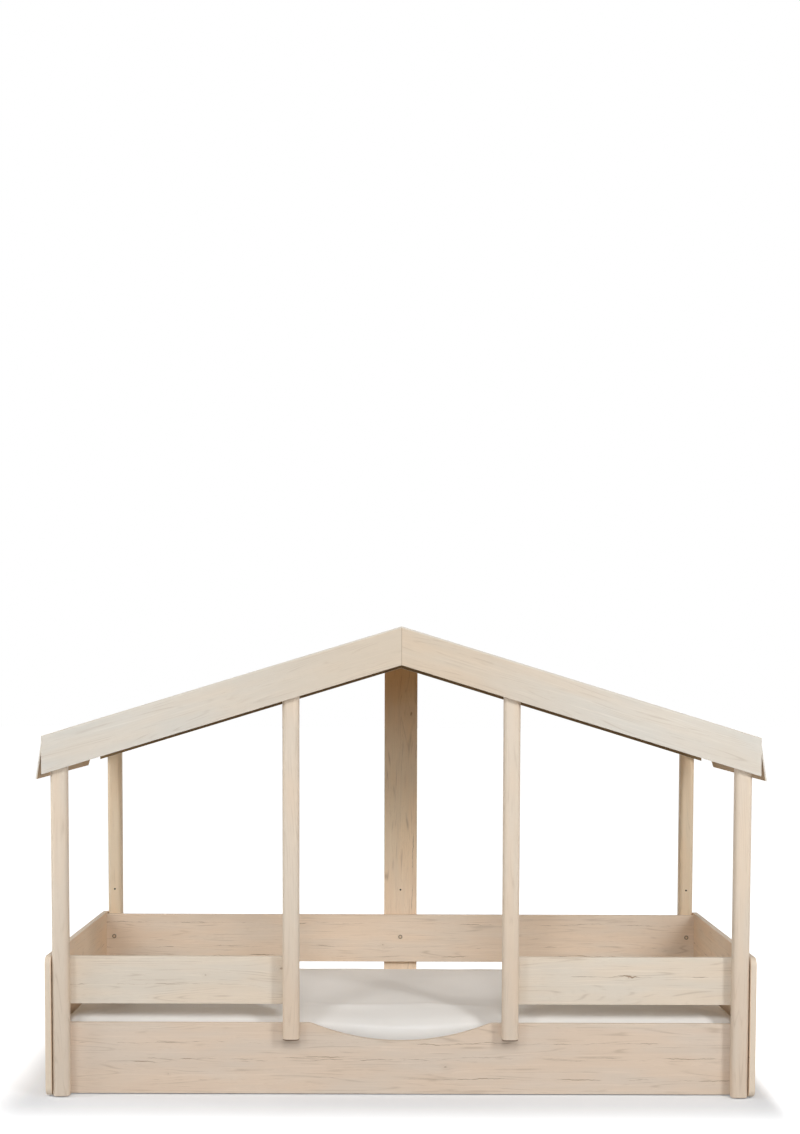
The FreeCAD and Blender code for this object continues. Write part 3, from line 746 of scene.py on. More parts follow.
class BedStudioSettings(bpy.types.PropertyGroup):
    """Camera, lamps and floor."""

    camera_x: length_property("Camera X", "Place of the camera along the bed", -0.0087)
    camera_y: length_property("Camera Y", "Place of the camera in front of the bed", -5.530)
    camera_z: length_property("Camera Z", "Height of the camera", 1.198)
    lens: number_property("Lens", "Focal length for a 36 mm long side", 55.88)
    shift: number_property("Shift", "Upward shift of the picture", 0.1955)
    pitch: angle_property("Pitch", "Downward tilt", 3.461)
    yaw: angle_property("Yaw", "Turn to the right", 0.058)
    roll: angle_property("Roll", "Turn of the picture", 0.168)
    ambient: number_property("Ambient", "Even light from all round", 0.11)
    fill: colour_property("Fill", "Colour of the even light", (1.0, 0.87, 0.74, 1.0))
    floor: colour_property("Floor", "Colour of the floor", (0.76, 0.785, 0.82, 1.0))
    floor_glow: number_property("Floor glow", "Added paleness of the floor in the picture", 0.15)
    shadow_reach: length_property("Shadow reach", "How far the floor's shadow is kept", 0.55)
    left_fade: number_property("Left fade", "How much sooner it ends at the left", 2.0)
    right_fade: number_property("Right fade", "How much sooner it ends at the right", 6.0)


def wood():
    return bpy.context.scene.bed_wood


def studio():
    return bpy.context.scene.bed_studio


def tones_of(pale):
    """Pale, middle and mark colour of one wood."""
    return tuple(pale), darker(pale, wood().contrast), tuple(wood().mark)


# ---------------------------------------------------------------- stage
WHITE = (1.0, 1.0, 1.0, 1.0)


def add_lamp(name, azimuth, elevation, distance, width, height, power, colour, target):
    """A large soft box, azimuth 0 in front of the bed and + to the right."""
    lamp = bpy.data.lights.new(name, "AREA")
    lamp.shape = "RECTANGLE"
    lamp.size = width
    lamp.size_y = height
    lamp.energy = power
    lamp.color = colour
    obj = link(name, lamp)
    obj.visible_camera = False
    turn, rise = math.radians(azimuth), math.radians(elevation)
    away = Vector((math.sin(turn) * math.cos(rise), -math.cos(turn) * math.cos(rise),
                   math.sin(rise)))
    obj.location = target + away * distance
    obj.rotation_euler = (-away).to_track_quat("-Z", "Y").to_euler()


LAMPS = (
    # name, azimuth, elevation, distance, width, height, power, colour
    ("lamp_right", 40.0, 23.0, 5.2, 0.8, 2.2, 92.0, (1.0, 1.0, 1.0)),
    ("lamp_left", -34.0, 25.0, 5.2, 1.1, 2.0, 48.0, (1.0, 1.0, 1.0)),
    ("lamp_middle", 0.0, 37.0, 6.5, 1.6, 1.6, 96.0, (1.0, 1.0, 1.0)),
    ("lamp_side_left", -80.0, 20.0, 4.0, 2.0, 2.0, 46.0, (1.0, 1.0, 1.0)),
    ("lamp_side_right", 80.0, 20.0, 4.0, 2.0, 2.0, 16.0, (1.0, 1.0, 1.0)),
    ("lamp_back", 180.0, 32.0, 6.0, 2.4, 2.4, 42.0, (1.0, 0.96, 0.91)),
)
LAMP_TARGET = Vector((0.0, -0.4, 0.55))


def make_camera():
    settings = studio()
    data = bpy.data.cameras.new("camera")
    data.sensor_width = 36.0
    data.lens = settings.lens
    data.shift_y = settings.shift
    data.clip_start = 0.05
    data.clip_end = 200.0
    camera = link("camera", data)
    turn = Matrix.Rotation(-settings.yaw, 4, "Z")
    turn = turn @ Matrix.Rotation(math.pi / 2 - settings.pitch, 4, "X")
    turn = turn @ Matrix.Rotation(settings.roll, 4, "Z")
    place = Vector((settings.camera_x, settings.camera_y, settings.camera_z))
    camera.matrix_world = Matrix.Translation(place) @ turn
    bpy.context.scene.camera = camera


def seen_rays(shader):
    """1 for rays that show the background: from the camera, in a gloss or through glass."""
    path = shader.tree.nodes.new("ShaderNodeLightPath")
    seen = Value(shader, path.outputs["Is Camera Ray"])
    seen = shader.math("MAXIMUM", seen, Value(shader, path.outputs["Is Glossy Ray"]))
    return shader.math("MAXIMUM", seen, Value(shader, path.outputs["Is Transmission Ray"]))


class WorldShader(Shader):
    """The world and the tree that makes it."""

    def __init__(self, name):
        self.world = bpy.data.worlds.new(name)
        self.world.use_nodes = True
        self.tree = self.world.node_tree
        self.tree.nodes.clear()
        self.output = self.tree.nodes.new("ShaderNodeOutputWorld")


def make_world():
    """A faint warm fill from all round, seen as plain white."""
    shader = WorldShader("studio")
    seen = seen_rays(shader)
    level = seen + (1.0 - seen) * studio().ambient
    colour = shader.mix(seen, tuple(studio().fill), WHITE)
    shader.finish(shader.node("ShaderNodeBackground", None, {"Color": colour, "Strength": level}))
    bpy.context.scene.world = shader.world


FLOOR_REACH = 40.0
FLOOR_LEVEL = -0.0003


def make_floor():
    """Wide pale floor, shown near white. It keeps the shadow of the bed, and its glow drops
    towards the bed, which paints shade round it that reaches further to the left than to the
    right.
    """
    settings = studio()
    mesh = bpy.data.meshes.new("floor")
    corners = [(x * FLOOR_REACH, y * FLOOR_REACH, FLOOR_LEVEL)
               for x, y in ((-1, -1), (1, -1), (1, 1), (-1, 1))]
    mesh.from_pydata(corners, [], [(0, 1, 2, 3)])
    floor = link("floor", mesh)
    shader = Shader("floor")
    x, y, _ = shader.parts(shader.object_place())
    past_left = shader.math("MAXIMUM", CAD_BOX[0][0] - x, 0.0) * settings.left_fade
    past_right = shader.math("MAXIMUM", x - CAD_BOX[1][0], 0.0) * settings.right_fade
    past_y = shader.math("MAXIMUM", abs(y) - CAD_BOX[1][1], 0.0)
    away = shader.distance(past_left + past_right, past_y)
    # The glow is least next to the bed and full past the shadow reach: painted shade round the
    # bed.
    glow = shader.smooth(away, 0.0, settings.shadow_reach)
    glow = glow * (1.0 - settings.floor_glow) + settings.floor_glow
    base = shader.node("ShaderNodeBsdfDiffuse", None, {"Color": tuple(settings.floor)})
    light = shader.node("ShaderNodeEmission", None,
                        {"Color": WHITE, "Strength": seen_rays(shader) * glow})
    shader.finish(shader.node("ShaderNodeAddShader", None, {0: base, 1: light}))
    cover(mesh, shader.material)


class BED_OT_stage(bpy.types.Operator):
    """Add the floor, the world, the lamps and the camera"""

    bl_idname = "bed.stage"
    bl_label = "Studio stage"

    def execute(self, context):
        for lamp in LAMPS:
            add_lamp(*lamp, LAMP_TARGET)
        make_world()
        make_floor()
        make_camera()
        context.scene.view_settings.view_transform = "Standard"
        return {"FINISHED"}


# ---------------------------------------------------------------- boards
# Slow changes along some pieces: axis, where the change is full, where it ends, colour. On the
# fascias it is a change of tone; on the other pieces it is painted shade.
FASCIA_SHADE = (0, 0.0, 0.8, (0.974, 0.878, 0.778, 1.0))
# Painted shade of the roof: the centre board turns dark and warm towards its top.
PAINTED_ROOF_SHADE_CENTRE = (2, 1.26, 0.88, (0.52, 0.36, 0.20, 1.0))
# Painted shade towards the floor: the foot of the centre board and the lower part of every post
# are a little darker.
PAINTED_LOW_SHADE_CENTRE = (2, 0.42, 0.75, (0.90, 0.89, 0.93, 1.0))
PAINTED_LOW_SHADE_POSTS = (2, 0.2, 0.75, (0.92, 0.90, 0.89, 1.0))
# Painted shade of the roof on the heads of the back posts.
PAINTED_ROOF_SHADE_BACK_POSTS = (2, 1.0, 0.86, (0.90, 0.84, 0.76, 1.0))

# Painted contact shadow at the lower ends of the inner front posts, where they stand on the rail:
# heights above the end, and colour
PAINTED_POST_FOOT_SHADOW = (0.0022, 0.0045, (0.20, 0.14, 0.10, 1.0))


def pilot_hole(name):
    """A small hole in the inner side of a back upright: x, z, radius, y of its bottom."""
    mounts = {mount["name"]: mount for mount in frame["record"]["mounts"]}
    mount = mounts["pilot_" + name]
    x, y, z = mount["pos_m"]
    return x, z, mount["dims"]["r_mm"] / 1000.0, y + mount["dims"]["length_mm"] / 1000.0


class BED_OT_boards(bpy.types.Operator):
    """Give every coated board its own run of grain"""

    bl_idname = "bed.boards"
    bl_label = "Coated boards"

    def execute(self, context):
        settings = wood()
        rail, guard = tones_of(settings.rail), tones_of(settings.guard)
        fascia, panel = tones_of(settings.fascia), tones_of(settings.panel)
        upright, back = tones_of(settings.upright), tones_of(settings.back_rail)
        wood_finish("front_lower_rail", "along_x", rail, 1.0, cracks=(0.098, 0.106, 0.150, 0.046),
                    knots=((0.13, 0.082, 0.006), (-0.675, 0.060, 0.004)))
        wood_finish("back_upper_rail", "along_x", back, 2.2, cracks=(0.292, 0.262, 0.372),
                    knots=((-0.06, 0.300, 0.005),))
        wood_finish("back_lower_rail", "along_x", back, 3.1, cracks=(0.12,))
        wood_finish("guard_board_left", "along_x", guard, 4.4, cracks=(0.318,),
                    knots=((-0.565, 0.350, 0.005), (-0.345, 0.370, 0.010)))
        wood_finish("guard_board_right", "along_x", guard, 5.2, cracks=(0.345,),
                    knots=((0.66, 0.345, 0.004),))
        for number, (name, grain) in enumerate(SLOPES):
            wood_finish("fascia_front_" + name, grain, fascia, 6.3 + number, fibre=0.75,
                        joint_line=True, shades=(FASCIA_SHADE,))
            # The back fascias' raw inner face is darkened through raw_shade_share: painted shade
            # under the roof.
            wood_finish("fascia_back_" + name, grain, fascia, 8.6 + number, fibre=0.75,
                        joint_line=True, shades=(FASCIA_SHADE,), outward=(0.0, 1.0, 0.0),
                        raw_shade_share=0.42)
            wood_finish("end_panel_" + name, "along_y", panel, 10.4 + number, fibre=0.8,
                        cracks=(0.31, 0.12), banded=(1.0, 0.0, 0.0))
        wood_finish("back_centre_board", "upright", upright, 12.6, fibre=1.35,
                    cracks=(-0.046,), knots=((1.09, -0.035, 0.010),),
                    shades=(PAINTED_ROOF_SHADE_CENTRE, PAINTED_LOW_SHADE_CENTRE), hole=pilot_hole("centre"))
        return {"FINISHED"}


class BED_OT_posts(bpy.types.Operator):
    """Give each post a quiet upright grain"""

    bl_idname = "bed.posts"
    bl_label = "Posts"

    def execute(self, context):
        for place in ("front_outer", "front_inner", "back"):
            pale, _, mark = tones_of(wood().back_post if place == "back" else wood().post)
            for number, name in enumerate(SIDES):
                node = "post_%s_%s" % (place, name)
                shades, hole = [PAINTED_LOW_SHADE_POSTS], None
                if place == "back":
                    shades.append(PAINTED_ROOF_SHADE_BACK_POSTS)
                    hole = pilot_hole(name)
                if place == "front_inner":
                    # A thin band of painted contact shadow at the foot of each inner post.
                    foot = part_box(node)[0].z
                    shades.append((2, foot + PAINTED_POST_FOOT_SHADOW[0], foot + PAINTED_POST_FOOT_SHADOW[1], PAINTED_POST_FOOT_SHADOW[2]))
                wood_finish(node, "upright", (pale, darker(pale, 0.92), mark),
                            20.0 + len(place) * 1.9 + number * 3.3, fibre=0.6, roughness=0.48,
                            shades=shades, hole=hole)
        return {"FINISHED"}


class BED_OT_roof(bpy.types.Operator):
    """Give the roof sheets, eaves boards, rafters and battens their wood"""

    bl_idname = "bed.roof"
    bl_label = "Roof"

    def execute(self, context):
        sheet = tones_of(wood().sheet)
        softwood = tones_of(wood().softwood)
        for number, (name, grain) in enumerate(SLOPES):
            lean = Vector((math.sin(ROOF_SLOPE) * SIDES[name], 0.0, math.cos(ROOF_SLOPE)))
            wood_finish("roof_sheet_" + name, grain, sheet, 31.0 + number * 2.3, fibre=0.55,
                        plies=3, outward=lean)
            wood_finish("eaves_board_" + name, "along_y", sheet, 36.0 + number * 1.7,
                        outward=(SIDES[name], 0.0, 0.0))
            for part, direction, seed in (("eaves_batten_", "along_y", 39.0 + number),
                                          ("roof_rafter_", grain, 42.0 + number * 1.3),
                                          ("roof_battens_", grain, 47.0 + number * 1.3)):
                wood_finish(part + name, direction, softwood, seed, cut_ends=True)
        wood_finish("ridge_beam", "along_y", softwood, 45.5, cut_ends=True)
        return {"FINISHED"}


class BED_OT_slats(bpy.types.Operator):
    """Give the slats, ledgers and the centre beam their wood"""

    bl_idname = "bed.slats"
    bl_label = "Slatted base"

    def execute(self, context):
        softwood = tones_of(wood().softwood)
        for number, slat in enumerate(SLATS):
            wood_finish(slat, "along_y", softwood, 52.1 + number * 2.1, cut_ends=True)
        for number, node in enumerate(("front_ledger", "back_ledger", "centre_beam")):
            wood_finish(node, "along_x", softwood, 75.0 + number * 1.6, cut_ends=True)
        return {"FINISHED"}


# ---------------------------------------------------------------- other finishes
def metal_finish(name, colour, roughness):
    """Plated steel: faint clouding and short fine scratches."""
    shader = Shader(name)
    place = shader.object_place()
    cloud = shader.noise(place, scale=60.0, detail=3.0)
    scratch = shader.streaks(place, 300.0, 2400.0, 1.0)
    tone = shader.mix(cloud, darker(colour, 0.82), tuple(colour))
    gloss = roughness + (cloud - 0.5) * 0.25 + (scratch - 0.5) * 0.12
    normal = shader.bump(scratch, 0.00003, 0.4)
    return shader.surface(Base_Color=tone, Metallic=1.0, Roughness=gloss, Normal=normal)


def plastic_finish(name, colour, roughness):
    """Moulded plastic with a fine spark-eroded skin."""
    shader = Shader(name)
    place = shader.object_place()
    grain = shader.noise(place, scale=3200.0, detail=2.0)
    cloud = shader.noise(place, scale=40.0, detail=2.0)
    tone = shader.mix(cloud, darker(colour, 0.94), tuple(colour))
    gloss = roughness + (grain - 0.5) * 0.2
    return shader.surface(Base_Color=tone, Roughness=gloss, Specular_IOR_Level=0.3,
                          Normal=shader.bump(grain, 0.00004, 0.6))


def ribs(shader, place, pitch):
    """-1 to 1 and back once for each pitch in metres."""
    return shader.math("SINE", place * (2.0 * math.pi / pitch))


def cotton_finish(name, colour, thread=0.0007):
    """Plain-woven cotton: crossing threads, slubs and a soft unevenness."""
    shader = Shader(name)
    place = shader.object_place()
    x, y, z = shader.parts(place)
    weave = ribs(shader, x, thread) * ribs(shader, y + z, thread)
    slub = shader.streaks(place, 30.0, 900.0, 2.0)
    cloud = shader.noise(place, scale=5.0, detail=3.0)
    tone = shader.mix(cloud, darker(colour, 0.965), tuple(colour))
    tone = shader.mix(shader.clamp(weave * 0.05 + (slub - 0.5) * 0.16 + 0.08), tone,
                      darker(colour, 0.9))
    return shader.surface(Base_Color=tone, Roughness=0.86 + (slub - 0.5) * 0.1,
                          Specular_IOR_Level=0.2, Sheen_Weight=0.12,
                          Normal=shader.bump(weave * 0.5 + slub, 0.00012, 0.5))


QUILT_DIAMOND = 0.09
TWILL_PITCH = 0.0016


def ticking_finish(name, colour):
    """Underside of the mattress: close twill with sewn diamonds."""
    shader = Shader(name)
    x, y, _ = shader.parts(shader.object_place())
    rising = abs(ribs(shader, x + y, 2.0 * QUILT_DIAMOND))
    falling = abs(ribs(shader, x - y, 2.0 * QUILT_DIAMOND))
    near = shader.math("MINIMUM", rising, falling)
    twill = ribs(shader, x + y * 1.7, TWILL_PITCH)
    # The sewn diamond lines are darker: painted shade in their grooves.
    tone = shader.mix(shader.fade(near, 0.0, 0.09) * 0.5, tuple(colour), darker(colour, 0.7))
    tone = shader.mix(shader.clamp(twill * 0.06 + 0.06), tone, darker(colour, 0.8))
    height = shader.smooth(near, 0.0, 0.5) * 1.2 + twill * 0.05
    return shader.surface(Base_Color=tone, Roughness=0.9,
                          Normal=shader.bump(height, 0.0016, 0.7))


RIB_PITCH = 0.0031
PICK_PITCH = 0.0013


def webbing_finish(name, colour):
    """Flat woven tape: raised ribs along it and close picks across it."""
    shader = Shader(name)
    place = shader.object_place()
    x, y, _ = shader.parts(place)
    raised = ribs(shader, y, RIB_PITCH)
    picks = ribs(shader, x, PICK_PITCH)
    slub = shader.streaks(place, 120.0, 1400.0, 3.0)
    shade = shader.clamp(0.25 - raised * 0.16 - picks * 0.1 + (slub - 0.5) * 0.4)
    tone = shader.mix(shade, tuple(colour), darker(colour, 0.72))
    return shader.surface(Base_Color=tone, Roughness=0.85 + (slub - 0.5) * 0.1,
                          Normal=shader.bump(raised * 0.6 + picks * 0.3 + slub * 0.4, 0.0003, 0.7))


# ---------------------------------------------------------------- mattress
class BedMattressSettings(bpy.types.PropertyGroup):
    """Size of the folds and the colours of the mattress."""

    cotton: colour_property("Cotton", "Colour of the fitted sheet", (0.92, 0.91, 0.885, 1.0))
    ticking: colour_property("Ticking", "Colour of the underside", (0.70, 0.70, 0.68, 1.0))
    start_inset: length_property("Start inset", "How much smaller the pad starts", 0.005)
    voxel: length_property("Voxel", "Size of the remeshed faces", 0.014)
    cap: length_property("Cap", "Most that a point may swell", 0.006)
    entry_sag: length_property("Entry sag", "How far the edge is pressed down at the entry", 0.024)
    crown: length_property("Crown", "Rise of the top towards the middle", 0.009)
    hem_inset: length_property("Hem inset", "From the mattress edge to its elastic hem", 0.075)
    hem_recess: length_property("Hem recess", "Rise of the underside inside the hem", 0.0022)
    hem_radius: length_property("Hem radius", "Half the thickness of the elastic", 0.0016)
    stitch_pitch: length_property("Stitch pitch", "From one hem stitch to the next", 0.007)
    stitch_thread: length_property("Stitch thread", "Radius of the hem's thread", 0.0003)
    stitch_outset: length_property("Stitch outset", "From the elastic out to its stitches", 0.008)


# Half the width of the pressed edge at the entry, and how far the folds' waves rise
ENTRY_HALF = 0.23
SLOW_WAVE = 0.0012
FINE_WAVE = 0.0005
FRONT_WAVE = 0.003

# Depths of the corner pleats, of the sides' drape and of the gathers under the mattress, and
# how far from a corner its pleats meet
PLEAT_DEPTH = 0.0016
DRAPE_DEPTH = 0.0008
GATHER_HEIGHT = 0.0009
PLEAT_CENTRE = 0.075

# Room that the finished cover keeps to: above the mattress, past its sides, over the slats
ROOM_ABOVE = 0.012
ROOM_ASIDE = 0.002
ROOM_BELOW = 0.0001

# Length of the cloth run, and the heights up to which it holds the underside and the
# underside's faces are ticking
CLOTH_FRAMES = 20
HELD_HEIGHT = 0.012
TICKING_HEIGHT = 0.02

# Folds of the sheet on top: start and end (x, y) in metres, height and half width
TOP_FOLDS = (
    ((-0.25, -0.345), (0.12, -0.320), 0.0055, 0.018),
    ((-0.30, -0.30), (-0.12, -0.350), 0.0022, 0.012),
    ((0.04, -0.315), (0.28, -0.350), 0.0050, 0.018),
    ((-0.62, -0.38), (-0.40, -0.30), 0.0020, 0.016),
    ((0.48, -0.31), (0.74, -0.37), 0.0022, 0.015),
    ((-0.93, -0.40), (-0.72, -0.22), 0.0034, 0.014),
    ((0.93, -0.40), (0.70, -0.20), 0.0034, 0.014),
    ((-0.93, 0.40), (-0.70, 0.24), 0.0034, 0.014),
    ((0.93, 0.40), (0.72, 0.21), 0.0034, 0.014),
    ((-0.95, -0.30), (-0.80, -0.10), 0.0024, 0.012),
    ((0.95, -0.29), (0.82, -0.08), 0.0024, 0.012),
    ((-0.22, 0.05), (0.20, 0.12), 0.0014, 0.030),
    ((-0.55, 0.22), (-0.10, 0.31), 0.0014, 0.026),
    ((0.15, 0.30), (0.60, 0.20), 0.0014, 0.026),
)


def fold_height(points, start, end, height, half_width):
    """Height of one soft ridge at each point, fading out towards its ends."""
    start, end = np.array(start), np.array(end)
    run = end - start
    length = np.linalg.norm(run)
    share = np.clip((points[:, :2] - start) @ run / length ** 2, 0.0, 1.0)
    nearest = start + share[:, None] * run
    away = np.linalg.norm(points[:, :2] - nearest, axis=1)
    ends = np.sin(np.pi * np.clip(share, 0.02, 0.98)) ** 0.7
    return height * ends * np.exp(-(away / half_width) ** 2)


def eased(value, low, high):
    share = np.clip((value - low) / (high - low), 0.0, 1.0)
    return share * share * (3.0 - 2.0 * share)


def inset_of(points):
    """Distance of each point in from the nearest side of the mattress, seen from above."""
    reach_x = MATTRESS_HIGH.x - np.abs(points[:, 0])
    reach_y = MATTRESS_HIGH.y - np.abs(points[:, 1])
    return np.minimum(reach_x, reach_y)


def swell(obj, base_height):
    """Blow the pad up a little as cloth. Its underside stays where it is."""
    settings = bpy.context.scene.bed_mattress
    before = points_of(obj.data)
    held = obj.vertex_groups.new(name="underside")
    low = [int(i) for i in np.nonzero(before[:, 2] < base_height)[0]]
    held.add(low, 1.0, "REPLACE")
    cloth = obj.modifiers.new("cloth", "CLOTH")
    cloth.settings.quality = 5
    cloth.settings.mass = 0.3
    cloth.settings.vertex_group_mass = "underside"
    cloth.settings.use_pressure = True
    cloth.settings.uniform_pressure_force = 4.0
    cloth.settings.effector_weights.gravity = 0.0
    for number in range(CLOTH_FRAMES):
        bpy.context.scene.frame_set(number + 1)
    swollen = applied(obj)
    after = points_of(swollen)
    bpy.context.scene.frame_set(1)
    moved = after - before
    size = np.linalg.norm(moved, axis=1)
    share = np.minimum(1.0, settings.cap / np.maximum(size, 1e-9))
    bpy.data.meshes.remove(swollen)
    return before + moved * share[:, None]


def waves(points, along_x, along_y, start):
    """A sine over the plan, with so many radians to the metre along X and along Y."""
    return np.sin(points[:, 0] * along_x + points[:, 1] * along_y + start)


def fold_top(points, inset, settings):
    """Add the folds, waves and crown of the top, and press its edge down at the entry."""
    middle = (MATTRESS_LOW.z + MATTRESS_HIGH.z) / 2
    on_top = eased(points[:, 2], MATTRESS_HIGH.z - 0.024, MATTRESS_HIGH.z - 0.010)
    lift = sum(fold_height(points, *fold) for fold in TOP_FOLDS)
    slow = waves(points, 7.3, 0.0, 1.0) * waves(points, 0.0, 9.1, 0.4)
    lift += SLOW_WAVE * slow + FINE_WAVE * waves(points, 31.0, 17.0, 2.0 * slow)
    lift += FRONT_WAVE * waves(points, 6.2, 0.0, 0.9) * eased(-points[:, 1], 0.34, 0.44)
    lift += settings.crown * (1.0 - (points[:, 0] / MATTRESS_HIGH.x) ** 2)
    points[:, 2] += lift * on_top * eased(inset, 0.0, 0.03)
    pressed = np.exp(-(points[:, 0] / ENTRY_HALF) ** 2) * eased(-points[:, 1], 0.335, 0.45)
    points[:, 2] -= settings.entry_sag * pressed * eased(points[:, 2], middle, MATTRESS_HIGH.z)


def pleat_sides(points):
    """Add the pleats of the corners and the drape of the long sides."""
    middle = (MATTRESS_LOW.z + MATTRESS_HIGH.z) / 2
    corner_x = np.abs(points[:, 0]) - (MATTRESS_HIGH.x - PLEAT_CENTRE)
    corner_y = np.abs(points[:, 1]) - (MATTRESS_HIGH.y - PLEAT_CENTRE)
    near_corner = eased(np.minimum(corner_x, corner_y), -0.10, 0.02)
    on_side = 1.0 - eased(np.abs(points[:, 2] - middle), 0.035, 0.062)
    pleat = np.sin(np.arctan2(corner_y, corner_x) * 13.0 + points[:, 2] * 9.0)
    outward = np.sign(points[:, :2]) / math.sqrt(2.0)
    points[:, :2] += outward * (PLEAT_DEPTH * pleat * near_corner * on_side)[:, None]
    drape = waves(points, 24.0, 0.0, 0.8 * waves(points, 9.0, 0.0, 0.0))
    facing = np.sign(points[:, 1]) * eased(np.abs(points[:, 1]), 0.42, 0.445)
    points[:, 1] -= facing * (DRAPE_DEPTH * (1.0 + drape)) * on_side


def turn_under(points, inset, settings):
    """Gather the cover under the mattress, and step the underside up inside its hem."""
    underneath = 1.0 - eased(points[:, 2], MATTRESS_LOW.z + 0.002, MATTRESS_LOW.z + 0.012)
    inside = eased(inset, settings.hem_inset - 0.006, settings.hem_inset + 0.006)
    points[:, 2] += settings.hem_recess * inside * underneath
    gather = 0.5 + 0.5 * waves(points, 330.0, 330.0, 0.0)
    points[:, 2] += GATHER_HEIGHT * gather * eased(inset, 0.03, 0.06) * (1.0 - inside) * underneath


def shape_cover(mesh):
    """Add the sheet's folds, its pleats at the corners and its hem's step underneath."""
    settings = bpy.context.scene.bed_mattress
    points = points_of(mesh)
    inset = inset_of(points)
    fold_top(points, inset, settings)
    pleat_sides(points)
    turn_under(points, inset, settings)
    points[:, 2] = np.clip(points[:, 2], MATTRESS_LOW.z + ROOM_BELOW, MATTRESS_HIGH.z + ROOM_ABOVE)
    reach = np.array([MATTRESS_HIGH.x, MATTRESS_HIGH.y]) + ROOM_ASIDE
    points[:, :2] = np.clip(points[:, :2], -reach, reach)
    set_points(mesh, points)


# Corner radius of the hem, steps round each corner, and a stitch's share of its pitch
HEM_CORNER = 0.06
HEM_STEPS = 8
STITCH_SHARE = 0.62


def hem_path(outset, z):
    """Points of a rounded rectangle under the mattress, outset from where its elastic runs."""
    inset = bpy.context.scene.bed_mattress.hem_inset - outset
    radius = HEM_CORNER + outset
    straight_x = MATTRESS_HIGH.x - inset - radius
    straight_y = MATTRESS_HIGH.y - inset - radius
    path = []
    for sign_x, sign_y, first in ((1, -1, -90), (1, 1, 0), (-1, 1, 90), (-1, -1, 180)):
        for step in range(HEM_STEPS + 1):
            angle = math.radians(first + 90.0 * step / HEM_STEPS)
            path.append(Vector((sign_x * straight_x + radius * math.cos(angle),
                                sign_y * straight_y + radius * math.sin(angle), z)))
    return path


class BED_OT_mattress(bpy.types.Operator):
    """Swell the mattress as a soft pad in its fitted sheet"""

    bl_idname = "bed.mattress"
    bl_label = "Mattress"

    def execute(self, context):
        settings = context.scene.bed_mattress
        obj = link("mattress_pad", merged_copy("mattress"))
        points = points_of(obj.data)
        middle = middle_of(points)
        half = points.max(0) - middle
        shrink = 1.0 - settings.start_inset / half
        shrink[2] = 1.0 - settings.start_inset / 2 / half[2]
        points = middle + (points - middle) * shrink
        points[:, 2] -= settings.start_inset / 2
        set_points(obj.data, points)
        remesh = obj.modifiers.new("remesh", "REMESH")
        remesh.mode = "VOXEL"
        remesh.voxel_size = settings.voxel
        obj.data = applied(obj)
        set_points(obj.data, swell(obj, MATTRESS_LOW.z + HELD_HEIGHT))
        obj.vertex_groups.clear()
        smooth = obj.modifiers.new("smooth", "SMOOTH")
        smooth.iterations = 3
        smooth.factor = 0.5
        round_off = obj.modifiers.new("round", "SUBSURF")
        round_off.levels = 1
        round_off.render_levels = 1
        mesh = applied(obj)
        obj.data = mesh
        shape_cover(mesh)
        make_smooth(mesh)
        cover(mesh, cotton_finish("fitted_cotton", settings.cotton),
              ticking_finish("ticking", settings.ticking))
        middles = np.empty(len(mesh.polygons) * 3)
        mesh.polygons.foreach_get("center", middles)
        middles = middles.reshape(-1, 3)
        under = middles[:, 2] < MATTRESS_LOW.z + TICKING_HEIGHT
        under &= inset_of(middles) > settings.hem_inset
        mesh.polygons.foreach_set("material_index", under.astype(int))
        place_piece(obj, "mattress", "cotton_sheet", "mattress")
        return {"FINISHED"}


def stitch_tree(material):
    """Short stitches along a closed path, one to each pitch."""
    tree = Geometry("hem_stitch")
    pitch, thread = tree.sizes("Pitch", "Thread Radius")
    path = tree.node("GeometryNodeMeshToCurve", None, {"Mesh": tree.geometry()})
    spaced = tree.node("GeometryNodeResampleCurve", {"mode": "LENGTH"},
                       {"Curve": path, "Length": pitch})
    turn = tree.node("FunctionNodeAlignRotationToVector", {"axis": "Z"},
                     {"Vector": tree.node("GeometryNodeInputTangent")})
    stitch = tree.cylinder(thread, pitch * STITCH_SHARE, 0.0, 6)
    stitches = tree.node("GeometryNodeInstanceOnPoints", None,
                         {"Points": spaced, "Instance": stitch, "Rotation": turn})
    tree.finish(stitches, material)
    return tree


def closed_path_mesh(name, path):
    mesh = bpy.data.meshes.new(name)
    ends = [(number, (number + 1) % len(path)) for number in range(len(path))]
    mesh.from_pydata([tuple(place) for place in path], ends, [])
    return mesh


class BED_OT_hem(bpy.types.Operator):
    """Run the elastic hem and its stitches round the underside of the mattress"""

    bl_idname = "bed.hem"
    bl_label = "Sheet hem"

    def execute(self, context):
        settings = context.scene.bed_mattress
        path = hem_path(0.0, MATTRESS_LOW.z + settings.hem_recess - settings.hem_radius * 0.15)
        curve = bpy.data.curves.new("sheet_hem", "CURVE")
        curve.dimensions = "3D"
        curve.bevel_depth = settings.hem_radius
        curve.bevel_resolution = 2
        spline = curve.splines.new("POLY")
        spline.points.add(len(path) - 1)
        for point, place in zip(spline.points, path):
            point.co = (*place, 1.0)
        spline.use_cyclic_u = True
        source = link("hem_curve", curve)
        mesh = applied(source)
        bpy.data.objects.remove(source)
        hem = link("sheet_hem", mesh)
        make_smooth(mesh)
        cover(mesh, cotton_finish("hem_cotton", settings.cotton, thread=0.0011))
        place_piece(hem, "mattress", "cotton_sheet")

        thread = cotton_finish("stitch_cotton", darker(settings.cotton, 0.86), thread=0.0004)
        path = hem_path(settings.stitch_outset, MATTRESS_LOW.z + settings.stitch_thread)
        stitches = grow("hem_stitches", closed_path_mesh("hem_stitch_path", path),
                        stitch_tree(thread),
                        {"Pitch": settings.stitch_pitch, "Thread Radius": settings.stitch_thread})
        place_piece(stitches, "mattress", "cotton_sheet")
        return {"FINISHED"}


